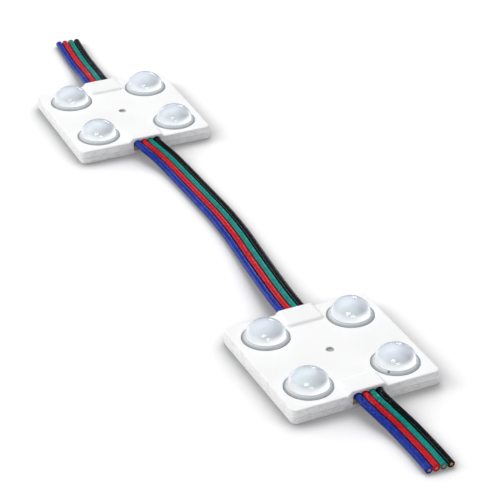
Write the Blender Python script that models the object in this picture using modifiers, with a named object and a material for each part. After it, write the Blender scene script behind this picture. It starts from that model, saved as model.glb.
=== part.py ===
"""A chain of two square RGB LED modules on a four-wire cable, with short leads at both ends.

Metres, +Z up. The origin is the middle of module_1's back, on the surface that the module is stuck to.
+X runs along the cable, and module_2 lies towards -X. Every size below is written in millimetres times MM.
"""

import math
from dataclasses import dataclass

import bmesh
import bpy
import numpy as np
from mathutils import Matrix

MM = 0.001

# Clearances
SEAT_GAP = 0.1 * MM
SIDE_PLAY = 0.15 * MM
MOUTH_PLAY = 0.25 * MM
WIRE_END_GAP = 0.3 * MM

# Housing
MODULE_SIDE = 36.0 * MM
CORNER_RADIUS = 2.0 * MM
EDGE_ROUNDING = 0.35 * MM
WALL = 1.1 * MM
COVER_PLATE = 0.9 * MM
TRAY_FLOOR = 0.95 * MM
TRAY_WALL_HEIGHT = 1.55 * MM
TONGUE_THICKNESS = 0.5 * MM
TONGUE_HEIGHT = 0.6 * MM
POST_RADIUS = 0.8 * MM
POST_RISE = 0.35 * MM
POST_OFFSET = 12.0 * MM
DIMPLE_RADIUS = 0.95 * MM
DIMPLE_DEPTH = 0.5 * MM

# Double-sided tape on the back
TAPE_SIDE = 30.0 * MM
TAPE_CORNER_RADIUS = 1.5 * MM
TAPE_THICKNESS = 0.4 * MM
TAPE_PROUD = 0.15 * MM

# Circuit board and what is soldered to it
BOARD_THICKNESS = 0.8 * MM
BOARD_CORNER_RADIUS = 0.6 * MM
BOARD_SETBACK = 0.4 * MM
LED_SIDE = 5.0 * MM
LED_HEIGHT = 1.4 * MM
LED_WELL_RADIUS = 2.1 * MM
LED_WELL_FLOOR_RADIUS = 1.75 * MM
LED_WELL_DEPTH = 0.5 * MM
LED_LEADS_PER_SIDE = 3
LED_LEAD_PITCH = 1.6 * MM
LED_LEAD_WIDTH = 0.9 * MM
LED_LEAD_THICKNESS = 0.25 * MM
LED_LEAD_REACH = 0.25 * MM
RESISTOR_LENGTH = 3.2 * MM
RESISTOR_WIDTH = 1.6 * MM
RESISTOR_HEIGHT = 0.5 * MM
RESISTOR_CAP = 0.5 * MM
RESISTOR_CAP_STEP = 0.06 * MM
RESISTOR_PITCH = 5.0 * MM
RESISTOR_COUNT = 3
SOLDER_LENGTH = 1.8 * MM
SOLDER_WIDTH = 1.3 * MM
SOLDER_HEIGHT = 0.5 * MM

# Lens
LENS_HOLE_RADIUS = 5.7 * MM
FLANGE_LIP = 0.45 * MM
FLANGE_THICKNESS = 0.5 * MM
SKIRT_HEIGHT = 0.6 * MM
SKIRT_WAIST = 0.2 * MM
DOME_RADIUS = 4.65 * MM
DOME_HEIGHT = 3.6 * MM
CAVITY_MOUTH_RADIUS = 4.3 * MM
CAVITY_RADIUS = 3.8 * MM
CROWN_THICKNESS = 1.5 * MM

# Cable and the humps that it leaves by
WIRE_COLOURS = ("blue", "red", "green", "black")
WIRE_DIAMETER = 1.6 * MM
WIRE_PITCH = 1.72 * MM
WIRE_INSET = 3.0 * MM
WIRE_STEP = 4.4 * MM
HUMP_LIP = 0.75 * MM
HUMP_WALL = 1.2 * MM
HUMP_END_WALL = 3.1 * MM
HUMP_FLANK = 0.9 * MM
HUMP_STEP = 0.5 * MM
HUMP_STEP_RUN = 0.5 * MM
HUMP_CORNER = 0.8 * MM
HUMP_ROUNDING = 0.4 * MM
HUMP_SUNK = 0.45 * MM
MOUTH_ROUNDING = 0.7 * MM

# Roundness of the turned and rounded shapes
ROUTE_STEPS = 40
TUBE_RESOLUTION = 2
CORNER_SEGMENTS = 5
EDGE_SEGMENTS = 3
HOLE_SEGMENTS = 32
POST_SEGMENTS = 12
LENS_SEGMENTS = 24
DOME_STEPS = 6
CAVITY_STEPS = 3
SOLDER_SEGMENTS = 8
SOLDER_RINGS = 6
SHARP_ANGLE = math.radians(30)

# How far a cutter runs past the surface it cuts, and how near two places count as one
OVERCUT = 1.0 * MM
TOLERANCE = 0.01 * MM

# Heights of the stack, from the surface under the tape upwards
TRAY_BOTTOM = TAPE_PROUD
TAPE_POCKET_TOP = TAPE_THICKNESS + SEAT_GAP
TRAY_FLOOR_TOP = TRAY_BOTTOM + TRAY_FLOOR
TRAY_WALL_TOP = TRAY_BOTTOM + TRAY_WALL_HEIGHT
TONGUE_TOP = TRAY_WALL_TOP + TONGUE_HEIGHT
BOARD_BOTTOM = TRAY_FLOOR_TOP + SEAT_GAP
BOARD_TOP = BOARD_BOTTOM + BOARD_THICKNESS
FLANGE_BOTTOM = BOARD_TOP + SEAT_GAP
FLANGE_TOP = FLANGE_BOTTOM + FLANGE_THICKNESS
COVER_CEILING = FLANGE_TOP + SEAT_GAP
COVER_TOP = COVER_CEILING + COVER_PLATE
DOME_BASE = COVER_TOP + SKIRT_HEIGHT
DOME_TOP = DOME_BASE + DOME_HEIGHT
WIRE_HEIGHT = BOARD_TOP + SEAT_GAP + WIRE_DIAMETER / 2
MOUTH_CEILING = WIRE_HEIGHT + WIRE_DIAMETER / 2 + SEAT_GAP
HUMP_TOP = MOUTH_CEILING + HUMP_LIP
HUMP_RISE = HUMP_TOP - COVER_TOP

# Distances from the module's middle
HALF_SIDE = MODULE_SIDE / 2
INNER_HALF = HALF_SIDE - WALL
TONGUE_HALF = INNER_HALF + TONGUE_THICKNESS
REBATE_HALF = TONGUE_HALF + SEAT_GAP
BOARD_HALF = INNER_HALF - SIDE_PLAY
FLANGE_RADIUS = LENS_HOLE_RADIUS + FLANGE_LIP
BARREL_RADIUS = LENS_HOLE_RADIUS - SEAT_GAP
LENS_OFFSET = INNER_HALF - SIDE_PLAY - FLANGE_RADIUS
MOUTH_WIDTH = len(WIRE_COLOURS) * WIRE_PITCH + 2 * MOUTH_PLAY
HUMP_WIDTH = MOUTH_WIDTH + 2 * HUMP_WALL

# The solder joints stand a wire inset inside the wall, or further out where the lens flanges need the room
SOLDER_ROW_HALF = (len(WIRE_COLOURS) - 1) / 2 * WIRE_PITCH + SOLDER_WIDTH / 2
FLANGE_CLEAR = FLANGE_RADIUS + SIDE_PLAY
FLANGE_REACH = math.sqrt(max(FLANGE_CLEAR**2 - (LENS_OFFSET - SOLDER_ROW_HALF) ** 2, 0.0))
SOLDER_END = max(HALF_SIDE - WIRE_INSET - WIRE_END_GAP - SOLDER_LENGTH, LENS_OFFSET + FLANGE_REACH)
SOLDER_MIDDLE = SOLDER_END + SOLDER_LENGTH / 2
TUNNEL_END = SOLDER_END + SOLDER_LENGTH
WIRE_START = TUNNEL_END + WIRE_END_GAP
HUMP_END = TUNNEL_END - HUMP_END_WALL


@dataclass(frozen=True)
class Placement:
    """Where a module lies on the surface, and how far it is turned."""

    name: str
    x: float
    y: float
    angle: float

    def matrix(self):
        """The module's own frame, as a matrix."""
        return Matrix.Translation((self.x, self.y, 0.0)) @ Matrix.Rotation(self.angle, 4, "Z")

    def point(self, along, height):
        """A point on the module's own cable line, as world coordinates."""
        return tuple(self.matrix() @ Matrix.Translation((along, 0.0, height)).to_translation())


MODULE_1 = Placement("module_1", 0.0, 0.0, 0.0)
MODULE_2 = Placement("module_2", -126.4 * MM, 2.5 * MM, math.radians(-1.6))

# Each stretch of cable leaves its housing straight, then follows points laid by hand on the surface
LINK_POINTS = (
    (-105.5 * MM, 2.35 * MM, 2.75 * MM),
    (-101.0 * MM, 3.5 * MM, 1.95 * MM),
    (-95.5 * MM, 4.3 * MM, 1.2 * MM),
    (-88.0 * MM, 4.65 * MM, 0.88 * MM),
    (-78.0 * MM, 4.8 * MM, 0.88 * MM),
    (-68.0 * MM, 4.85 * MM, 0.88 * MM),
    (-58.0 * MM, 4.35 * MM, 0.88 * MM),
    (-48.0 * MM, 3.25 * MM, 1.1 * MM),
    (-38.0 * MM, 1.95 * MM, 1.75 * MM),
    (-30.0 * MM, 0.9 * MM, 2.4 * MM),
    (-24.0 * MM, 0.25 * MM, 2.8 * MM),
)
FRONT_POINTS = (
    (21.0 * MM, 0.15 * MM, 2.8 * MM),
    (25.0 * MM, 0.9 * MM, 2.2 * MM),
    (30.0 * MM, 1.9 * MM, 1.35 * MM),
    (35.5 * MM, 2.35 * MM, 0.9 * MM),
    (40.5 * MM, 2.4 * MM, 0.88 * MM),
    (45.2 * MM, 2.3 * MM, 0.88 * MM),
)
REAR_POINTS = (
    (-148.0 * MM, 3.15 * MM, 2.75 * MM),
    (-153.0 * MM, 3.95 * MM, 1.95 * MM),
    (-159.0 * MM, 4.65 * MM, 1.15 * MM),
    (-166.0 * MM, 5.2 * MM, 0.88 * MM),
    (-172.0 * MM, 5.8 * MM, 0.88 * MM),
    (-177.5 * MM, 6.45 * MM, 0.88 * MM),
)


def clear_scene():
    """Remove what the startup scene holds."""
    for obj in list(bpy.data.objects):
        bpy.data.objects.remove(obj, do_unlink=True)


def new_collection(name):
    """A collection in the scene."""
    collection = bpy.data.collections.new(name)
    bpy.context.scene.collection.children.link(collection)
    return collection


def new_material(name, colour, roughness, metallic=0.0, transmission=0.0):
    """A Principled material of one colour."""
    material = bpy.data.materials.new(name)
    material.use_nodes = True
    shader = material.node_tree.nodes["Principled BSDF"]
    shader.inputs["Base Color"].default_value = (*colour, 1.0)
    shader.inputs["Roughness"].default_value = roughness
    shader.inputs["Metallic"].default_value = metallic
    shader.inputs["Transmission Weight"].default_value = transmission
    material.diffuse_color = (*colour, 1.0)
    return material


class Workshop:
    """Holds the hidden construction shapes, and turns them into finished meshes."""

    def __init__(self):
        self.collection = new_collection("construction")

    def add(self, name, mesh_builder):
        """A hidden construction object from a bmesh."""
        mesh = bpy.data.meshes.new(name)
        mesh_builder.to_mesh(mesh)
        mesh_builder.free()
        obj = bpy.data.objects.new(name, mesh)
        obj.hide_render = True
        obj.display_type = "WIRE"
        self.collection.objects.link(obj)
        return obj

    def rounded_block(self, name, length, width, corner, low, high, edge=0.0):
        """A block centred on Z, with rounded upright edges and, where edge is set, a rounded upper rim."""
        shape = bmesh.new()
        bmesh.ops.create_cube(shape, size=1.0)
        bmesh.ops.scale(shape, vec=(length, width, high - low), verts=shape.verts)
        bmesh.ops.translate(shape, vec=(0.0, 0.0, (low + high) / 2), verts=shape.verts)
        upright = [e for e in shape.edges if abs(e.verts[0].co.z - e.verts[1].co.z) > (high - low) / 2]
        bevel(shape, upright, corner, CORNER_SEGMENTS)
        if edge:
            bevel(shape, rim_edges(shape, high), edge, EDGE_SEGMENTS)
        return self.add(name, shape)

    def box(self, name, low, high):
        """A plain block between two corners."""
        shape = bmesh.new()
        bmesh.ops.create_cube(shape, size=1.0)
        size = [b - a for a, b in zip(low, high)]
        middle = [(a + b) / 2 for a, b in zip(low, high)]
        bmesh.ops.scale(shape, vec=size, verts=shape.verts)
        bmesh.ops.translate(shape, vec=middle, verts=shape.verts)
        return self.add(name, shape)

    def drum(self, name, x, y, low_radius, high_radius, low, high, segments):
        """An upright cylinder or cone."""
        shape = bmesh.new()
        place = Matrix.Translation((x, y, (low + high) / 2))
        bmesh.ops.create_cone(
            shape, cap_ends=True, segments=segments, radius1=low_radius, radius2=high_radius,
            depth=high - low, matrix=place,
        )
        return self.add(name, shape)

    def combine(self, target, tool, operation):
        """Add a Boolean modifier that joins or cuts the target."""
        modifier = target.modifiers.new(tool.name, "BOOLEAN")
        modifier.object = tool
        modifier.operation = operation
        modifier.solver = "EXACT"

    def finish(self, obj):
        """The evaluated mesh of a construction object, with smooth round faces and sharp corners."""
        bpy.context.view_layer.update()
        graph = bpy.context.evaluated_depsgraph_get()
        mesh = bpy.data.meshes.new_from_object(obj.evaluated_get(graph))
        mesh.materials.clear()
        mesh.shade_smooth()
        mesh.set_sharp_from_angle(angle=SHARP_ANGLE)
        return mesh


def bevel(shape, edges, width, segments):
    """Round these edges."""
    bmesh.ops.bevel(
        shape, geom=edges, offset=width, offset_type="OFFSET", segments=segments, profile=0.5,
        affect="EDGES", clamp_overlap=True,
    )


def rim_edges(shape, height):
    """The edges between the flat top at this height and the sides."""
    top = max(shape.faces, key=lambda face: face.calc_center_median().z)
    return [edge for edge in top.edges if all(abs(v.co.z - height) < TOLERANCE for v in edge.verts)]


def hump_block(workshop, name, direction):
    """The raised pad over a cable mouth: a ramp that falls inwards to a low step, with leaning flanks."""
    shape = bmesh.new()
    bmesh.ops.create_cube(shape, size=1.0)
    for vertex in shape.verts:
        outer = vertex.co.x > 0
        rise = (HUMP_RISE if outer else HUMP_STEP) if vertex.co.z > 0 else -HUMP_SUNK
        vertex.co.x = direction * (HALF_SIDE if outer else HUMP_END + HUMP_STEP_RUN * rise / HUMP_STEP)
        vertex.co.y = math.copysign(HUMP_WIDTH / 2 - HUMP_FLANK * rise / HUMP_RISE, vertex.co.y)
        vertex.co.z = COVER_TOP + rise
    bmesh.ops.recalc_face_normals(shape, faces=shape.faces)
    inner_corners = [
        e for e in shape.edges
        if all(abs(v.co.x) < HALF_SIDE - TOLERANCE for v in e.verts)
        and e.verts[0].co.y * e.verts[1].co.y > 0
    ]
    bevel(shape, inner_corners, HUMP_CORNER, EDGE_SEGMENTS)
    top = max(shape.faces, key=lambda face: face.calc_center_median().z)
    flush = [e for e in top.edges if all(abs(v.co.x) > HALF_SIDE - TOLERANCE for v in e.verts)]
    bevel(shape, [e for e in top.edges if e not in flush], HUMP_ROUNDING, EDGE_SEGMENTS)
    return workshop.add(name, shape)


def mouth_cutter(workshop, name, direction):
    """The cable tunnel, open at the module's side, with rounded upper corners."""
    shape = bmesh.new()
    bmesh.ops.create_cube(shape, size=1.0)
    inner = TUNNEL_END
    outer = HALF_SIDE + OVERCUT
    low = TRAY_FLOOR_TOP
    bmesh.ops.scale(shape, vec=(outer - inner, MOUTH_WIDTH, MOUTH_CEILING - low), verts=shape.verts)
    middle = (direction * (outer + inner) / 2, 0.0, (MOUTH_CEILING + low) / 2)
    bmesh.ops.translate(shape, vec=middle, verts=shape.verts)
    along = [
        e for e in shape.edges
        if abs(e.verts[0].co.x - e.verts[1].co.x) > OVERCUT and e.verts[0].co.z > (MOUTH_CEILING + low) / 2
    ]
    bevel(shape, along, MOUTH_ROUNDING, EDGE_SEGMENTS)
    return workshop.add(name, shape)


def lens_places():
    """The middle of each lens and LED, going round the module."""
    return [(sx * LENS_OFFSET, sy * LENS_OFFSET) for sx, sy in ((1, -1), (-1, -1), (-1, 1), (1, 1))]


def wire_offsets():
    """How far each wire lies to the side of the cable's middle, in the order of WIRE_COLOURS."""
    middle = (len(WIRE_COLOURS) - 1) / 2
    return [(index - middle) * WIRE_PITCH for index in range(len(WIRE_COLOURS))]


def build_top_cover(workshop):
    """The white cover: plate, skirt, lens holes, cable humps and the dimple in the middle."""
    cover = workshop.rounded_block(
        "cover_body", MODULE_SIDE, MODULE_SIDE, CORNER_RADIUS,
        TRAY_WALL_TOP + SEAT_GAP, COVER_TOP, EDGE_ROUNDING,
    )
    for direction in (1, -1):
        workshop.combine(cover, hump_block(workshop, "cover_hump", direction), "UNION")
    cavity = workshop.rounded_block(
        "cover_cavity", 2 * INNER_HALF, 2 * INNER_HALF, CORNER_RADIUS - WALL, TRAY_BOTTOM, COVER_CEILING
    )
    workshop.combine(cover, cavity, "DIFFERENCE")
    rebate = workshop.rounded_block(
        "cover_rebate", 2 * REBATE_HALF, 2 * REBATE_HALF, CORNER_RADIUS - HALF_SIDE + REBATE_HALF,
        TRAY_BOTTOM, TONGUE_TOP + SEAT_GAP,
    )
    workshop.combine(cover, rebate, "DIFFERENCE")
    for direction in (1, -1):
        workshop.combine(cover, mouth_cutter(workshop, "cover_mouth", direction), "DIFFERENCE")
    for x, y in lens_places():
        hole = workshop.drum(
            "lens_hole", x, y, LENS_HOLE_RADIUS, LENS_HOLE_RADIUS, FLANGE_BOTTOM, HUMP_TOP, HOLE_SEGMENTS
        )
        workshop.combine(cover, hole, "DIFFERENCE")
    dimple = workshop.drum(
        "dimple", 0.0, 0.0, DIMPLE_RADIUS, DIMPLE_RADIUS, COVER_TOP - DIMPLE_DEPTH, HUMP_TOP, POST_SEGMENTS
    )
    workshop.combine(cover, dimple, "DIFFERENCE")
    return workshop.finish(cover)


def build_base_tray(workshop):
    """The back half: floor with a tape pocket, side wall, a tongue inside the cover, and two posts."""
    tray = workshop.rounded_block(
        "tray_body", MODULE_SIDE, MODULE_SIDE, CORNER_RADIUS, TRAY_BOTTOM, TRAY_WALL_TOP
    )
    tongue = workshop.rounded_block(
        "tray_tongue", 2 * TONGUE_HALF, 2 * TONGUE_HALF, CORNER_RADIUS - HALF_SIDE + TONGUE_HALF,
        (TRAY_BOTTOM + TRAY_WALL_TOP) / 2, TONGUE_TOP,
    )
    workshop.combine(tray, tongue, "UNION")
    cavity = workshop.rounded_block(
        "tray_cavity", 2 * INNER_HALF, 2 * INNER_HALF, CORNER_RADIUS - WALL,
        TRAY_FLOOR_TOP, TONGUE_TOP + OVERCUT,
    )
    workshop.combine(tray, cavity, "DIFFERENCE")
    for direction in (1, -1):
        workshop.combine(tray, mouth_cutter(workshop, "tray_notch", direction), "DIFFERENCE")
    for side in (1, -1):
        post = workshop.drum(
            "tray_post", 0.0, side * POST_OFFSET, POST_RADIUS, POST_RADIUS,
            (TAPE_POCKET_TOP + TRAY_FLOOR_TOP) / 2, BOARD_TOP + POST_RISE, POST_SEGMENTS,
        )
        workshop.combine(tray, post, "UNION")
    pocket_side = TAPE_SIDE + 2 * SIDE_PLAY
    pocket = workshop.rounded_block(
        "tape_pocket", pocket_side, pocket_side, TAPE_CORNER_RADIUS + SIDE_PLAY,
        TRAY_BOTTOM - OVERCUT, TAPE_POCKET_TOP,
    )
    workshop.combine(tray, pocket, "DIFFERENCE")
    return workshop.finish(tray)


def build_circuit_board(workshop):
    """The board, with a tab that reaches into each cable mouth and a hole for each post."""
    board = workshop.rounded_block(
        "board_body", 2 * BOARD_HALF, 2 * BOARD_HALF, BOARD_CORNER_RADIUS, BOARD_BOTTOM, BOARD_TOP
    )
    tab_reach = HALF_SIDE - BOARD_SETBACK
    tab_half = MOUTH_WIDTH / 2 - SIDE_PLAY
    tabs = workshop.box(
        "board_tabs", (-tab_reach, -tab_half, BOARD_BOTTOM), (tab_reach, tab_half, BOARD_TOP)
    )
    workshop.combine(board, tabs, "UNION")
    for side in (1, -1):
        hole_radius = POST_RADIUS + SIDE_PLAY
        hole = workshop.drum(
            "board_hole", 0.0, side * POST_OFFSET, hole_radius, hole_radius,
            TRAY_BOTTOM, COVER_TOP, POST_SEGMENTS,
        )
        workshop.combine(board, hole, "DIFFERENCE")
    return workshop.finish(board)


def build_adhesive_pad(workshop):
    """The square of double-sided tape, which stands a little proud of the tray."""
    pad = workshop.rounded_block("pad_body", TAPE_SIDE, TAPE_SIDE, TAPE_CORNER_RADIUS, 0.0, TAPE_THICKNESS)
    return workshop.finish(pad)


def build_led(workshop):
    """A square surface-mount LED with its well and three leads on each of two sides, on the board's top."""
    low = BOARD_TOP + SEAT_GAP
    half = LED_SIDE / 2
    led = workshop.box("led_body", (-half, -half, low), (half, half, low + LED_HEIGHT))
    for index in range(LED_LEADS_PER_SIDE):
        middle = (index - (LED_LEADS_PER_SIDE - 1) / 2) * LED_LEAD_PITCH
        reach = half + LED_LEAD_REACH
        lead = workshop.box(
            "led_lead", (-reach, middle - LED_LEAD_WIDTH / 2, low),
            (reach, middle + LED_LEAD_WIDTH / 2, low + LED_LEAD_THICKNESS),
        )
        workshop.combine(led, lead, "UNION")
    top = low + LED_HEIGHT
    slope = (LED_WELL_RADIUS - LED_WELL_FLOOR_RADIUS) / LED_WELL_DEPTH
    well = workshop.drum(
        "led_well", 0.0, 0.0, LED_WELL_FLOOR_RADIUS, LED_WELL_RADIUS + slope * LED_WELL_DEPTH,
        top - LED_WELL_DEPTH, top + LED_WELL_DEPTH, POST_SEGMENTS,
    )
    workshop.combine(led, well, "DIFFERENCE")
    return workshop.finish(led)


def quarter_arc(radius, height, base, steps):
    """Points of a quarter ellipse from the axis at the top down to its full radius at the base."""
    angles = [math.pi / 2 * index / steps for index in range(steps + 1)]
    return [(radius * math.sin(a), base + height * math.cos(a)) for a in angles]


def build_lens(workshop):
    """The clear lens, turned about Z: dome, flared skirt, barrel in the cover's hole, flange and cavity."""
    outside = quarter_arc(DOME_RADIUS, DOME_HEIGHT, DOME_BASE, DOME_STEPS)
    flare = BARREL_RADIUS - DOME_RADIUS
    outside += [
        (DOME_RADIUS + flare / 2, COVER_TOP + SKIRT_WAIST),
        (BARREL_RADIUS, COVER_TOP),
        (BARREL_RADIUS, FLANGE_TOP),
        (FLANGE_RADIUS, FLANGE_TOP),
        (FLANGE_RADIUS, FLANGE_BOTTOM),
        (CAVITY_MOUTH_RADIUS, FLANGE_BOTTOM),
    ]
    cavity_height = DOME_TOP - CROWN_THICKNESS - COVER_TOP
    inside = quarter_arc(CAVITY_RADIUS, cavity_height, COVER_TOP, CAVITY_STEPS)
    profile = outside + inside[::-1]
    mesh = bpy.data.meshes.new("lens_profile")
    edges = [(index, index + 1) for index in range(len(profile) - 1)]
    mesh.from_pydata([(r, 0.0, z) for r, z in profile], edges, [])
    lens = bpy.data.objects.new("lens_profile", mesh)
    lens.hide_render = True
    lens.display_type = "WIRE"
    workshop.collection.objects.link(lens)
    turn = lens.modifiers.new("turn", "SCREW")
    turn.axis = "Z"
    turn.angle = 2 * math.pi
    turn.steps = LENS_SEGMENTS
    turn.render_steps = LENS_SEGMENTS
    turn.use_merge_vertices = True
    turn.merge_threshold = TOLERANCE
    return workshop.finish(lens)


def build_resistor(workshop):
    """A surface-mount resistor: a ceramic body between two slightly thicker end caps."""
    low = BOARD_TOP + SEAT_GAP
    half_length = RESISTOR_LENGTH / 2
    half_width = RESISTOR_WIDTH / 2
    step = RESISTOR_CAP_STEP
    resistor = workshop.box(
        "resistor_body", (-half_width + step, -half_length + step, low + step),
        (half_width - step, half_length - step, low + RESISTOR_HEIGHT - step),
    )
    for side in (1, -1):
        ends = sorted((side * half_length, side * (half_length - RESISTOR_CAP)))
        cap = workshop.box(
            "resistor_cap", (-half_width, ends[0], low), (half_width, ends[1], low + RESISTOR_HEIGHT)
        )
        workshop.combine(resistor, cap, "UNION")
    return workshop.finish(resistor)


def build_solder_joint(workshop):
    """The drop of solder that holds a wire's strands on its pad: the upper half of a ball, stretched."""
    shape = bmesh.new()
    bmesh.ops.create_uvsphere(
        shape, u_segments=SOLDER_SEGMENTS, v_segments=SOLDER_RINGS, radius=1.0
    )
    everything = list(shape.verts) + list(shape.edges) + list(shape.faces)
    cut = bmesh.ops.bisect_plane(
        shape, geom=everything, dist=TOLERANCE, plane_co=(0, 0, 0), plane_no=(0, 0, 1), clear_inner=True
    )
    rim = [item for item in cut["geom_cut"] if isinstance(item, bmesh.types.BMEdge)]
    bmesh.ops.edgeloop_fill(shape, edges=rim)
    bmesh.ops.recalc_face_normals(shape, faces=shape.faces)
    bmesh.ops.scale(shape, vec=(SOLDER_LENGTH / 2, SOLDER_WIDTH / 2, SOLDER_HEIGHT), verts=shape.verts)
    bmesh.ops.translate(shape, vec=(0.0, 0.0, BOARD_TOP + SEAT_GAP), verts=shape.verts)
    return workshop.finish(workshop.add("solder_drop", shape))


@dataclass(frozen=True)
class Piece:
    """One kind of sub-part: its mesh and its material."""

    mesh: bpy.types.Mesh
    material: bpy.types.Material


def housing_pieces(workshop):
    """Every kind of sub-part that a module holds, by its plain name."""
    cover_white = new_material("white_cover", (0.88, 0.88, 0.87), 0.38)
    tray_white = new_material("white_tray", (0.80, 0.80, 0.79), 0.45)
    board_mask = new_material("board", (0.62, 0.55, 0.36), 0.5)
    tape_liner = new_material("tape", (0.70, 0.71, 0.72), 0.8)
    led_white = new_material("led_package", (0.90, 0.90, 0.86), 0.35)
    clear_acrylic = new_material("clear_lens", (0.86, 0.90, 0.94), 0.05, 0.0, 0.9)
    ceramic = new_material("resistor", (0.10, 0.10, 0.11), 0.5)
    bright_solder = new_material("solder", (0.72, 0.72, 0.74), 0.25, 1.0)
    return {
        "top_cover": Piece(build_top_cover(workshop), cover_white),
        "base_tray": Piece(build_base_tray(workshop), tray_white),
        "circuit_board": Piece(build_circuit_board(workshop), board_mask),
        "adhesive_pad": Piece(build_adhesive_pad(workshop), tape_liner),
        "led": Piece(build_led(workshop), led_white),
        "lens": Piece(build_lens(workshop), clear_acrylic),
        "resistor": Piece(build_resistor(workshop), ceramic),
        "solder": Piece(build_solder_joint(workshop), bright_solder),
    }


def wire_materials():
    """One insulation material for each wire colour."""
    colours = {
        "blue": (0.03, 0.05, 0.45),
        "red": (0.62, 0.01, 0.02),
        "green": (0.01, 0.30, 0.24),
        "black": (0.01, 0.01, 0.015),
    }
    return {name: new_material(f"{name}_insulation", colours[name], 0.35) for name in WIRE_COLOURS}


def place_piece(name, piece, x, y, parent, collection):
    """A visible sub-part at a place in its module."""
    obj = bpy.data.objects.new(name, piece.mesh)
    if not piece.mesh.materials:
        piece.mesh.materials.append(piece.material)
    obj.location = (x, y, 0.0)
    obj.parent = parent
    collection.objects.link(obj)
    return obj


def build_module(placement, pieces, collection):
    """One module: housing, tape, board, LEDs under their lenses, resistors and solder joints."""
    origin = bpy.data.objects.new(placement.name, None)
    origin.matrix_world = placement.matrix()
    collection.objects.link(origin)
    prefix = placement.name
    for part in ("top_cover", "base_tray", "circuit_board", "adhesive_pad"):
        place_piece(f"{prefix}_{part}", pieces[part], 0.0, 0.0, origin, collection)
    for number, (x, y) in enumerate(lens_places(), start=1):
        place_piece(f"{prefix}_led_{number}", pieces["led"], x, y, origin, collection)
        place_piece(f"{prefix}_lens_{number}", pieces["lens"], x, y, origin, collection)
    for number in range(RESISTOR_COUNT):
        x = (number - (RESISTOR_COUNT - 1) / 2) * RESISTOR_PITCH
        place_piece(f"{prefix}_resistor_{number + 1}", pieces["resistor"], x, 0.0, origin, collection)
    for end, direction in (("front", 1), ("rear", -1)):
        for colour, y in zip(WIRE_COLOURS, wire_offsets()):
            x = direction * SOLDER_MIDDLE
            place_piece(f"{prefix}_solder_{end}_{colour}", pieces["solder"], x, y, origin, collection)


def smooth_curve(route, steps):
    """Points on a cubic curve that passes through the route's points, with slopes from their neighbours."""
    knots = np.array(route)
    gaps = np.linalg.norm(np.diff(knots, axis=0), axis=1)
    travelled = np.concatenate([[0.0], np.cumsum(gaps)])
    slopes = np.gradient(knots, travelled, axis=0)
    at = np.linspace(0.0, travelled[-1], steps)
    left = np.clip(np.searchsorted(travelled, at, side="right") - 1, 0, len(gaps) - 1)
    span = gaps[left][:, None]
    t = (at - travelled[left])[:, None] / span
    start = (2 * t**3 - 3 * t**2 + 1) * knots[left] + (t**3 - 2 * t**2 + t) * span * slopes[left]
    end = (3 * t**2 - 2 * t**3) * knots[left + 1] + (t**3 - t**2) * span * slopes[left + 1]
    return start + end


def beside(curve, distance):
    """The curve moved sideways, level with the surface."""
    along = np.gradient(curve, axis=0)
    sideways = np.stack([-along[:, 1], along[:, 0], np.zeros(len(along))], axis=1)
    sideways /= np.linalg.norm(sideways, axis=1)[:, None]
    return curve + distance * sideways


def evenly_spaced(curve, step):
    """The curve's points, about one step apart along it."""
    gaps = np.linalg.norm(np.diff(curve, axis=0), axis=1)
    travelled = np.concatenate([[0.0], np.cumsum(gaps)])
    count = max(2, round(travelled[-1] / step) + 1)
    at = np.linspace(0.0, travelled[-1], count)
    return np.stack([np.interp(at, travelled, curve[:, axis]) for axis in range(3)], axis=1)


def cable_routes():
    """The middle of each stretch of cable, from -X to +X, with its ends straight in the housings' mouths."""
    front_1 = [MODULE_1.point(along, WIRE_HEIGHT) for along in (WIRE_START, HALF_SIDE)]
    rear_1 = [MODULE_1.point(-along, WIRE_HEIGHT) for along in (HALF_SIDE, WIRE_START)]
    front_2 = [MODULE_2.point(along, WIRE_HEIGHT) for along in (WIRE_START, HALF_SIDE)]
    rear_2 = [MODULE_2.point(-along, WIRE_HEIGHT) for along in (HALF_SIDE, WIRE_START)]
    return {
        "front_lead": front_1 + list(FRONT_POINTS),
        "link": front_2 + list(LINK_POINTS) + rear_1,
        "rear_lead": list(reversed(REAR_POINTS)) + rear_2,
    }


def build_wire(name, points, material, collection):
    """One insulated wire: a round tube along its points."""
    curve = bpy.data.curves.new(name, "CURVE")
    curve.dimensions = "3D"
    curve.bevel_depth = WIRE_DIAMETER / 2
    curve.bevel_resolution = TUBE_RESOLUTION
    curve.use_fill_caps = True
    spline = curve.splines.new("POLY")
    spline.points.add(len(points) - 1)
    for point, place in zip(spline.points, points):
        point.co = (*place, 1.0)
    curve.materials.append(material)
    collection.objects.link(bpy.data.objects.new(name, curve))


def build_cable(collection):
    """Four wires side by side along every stretch of the cable."""
    materials = wire_materials()
    for stretch, route in cable_routes().items():
        middle = smooth_curve(route, ROUTE_STEPS * len(route))
        for colour, offset in zip(WIRE_COLOURS, wire_offsets()):
            points = evenly_spaced(beside(middle, offset), WIRE_STEP)
            build_wire(f"{stretch}_wire_{colour}", points, materials[colour], collection)


def main():
    """Build the whole chain."""
    clear_scene()
    collection = new_collection("rgb_led_module_chain")
    workshop = Workshop()
    pieces = housing_pieces(workshop)
    for placement in (MODULE_1, MODULE_2):
        build_module(placement, pieces, collection)
    build_cable(collection)


main()
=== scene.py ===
"""The looks of a chain of two square light modules on a four-wire cable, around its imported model.

Lengths are in metres with +Z up, and are written as millimetres times MM. The origin is the middle
of module_1's back, +X runs along the cable, and module_2 lies towards -X. The surface under both is
z = 0.
"""

from __future__ import annotations

import logging
import math
from collections.abc import Sequence
from dataclasses import dataclass, field
from enum import Enum

import bmesh
import bpy
import numpy as np
from mathutils import Matrix, Vector
from mathutils.geometry import delaunay_2d_cdt

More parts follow.
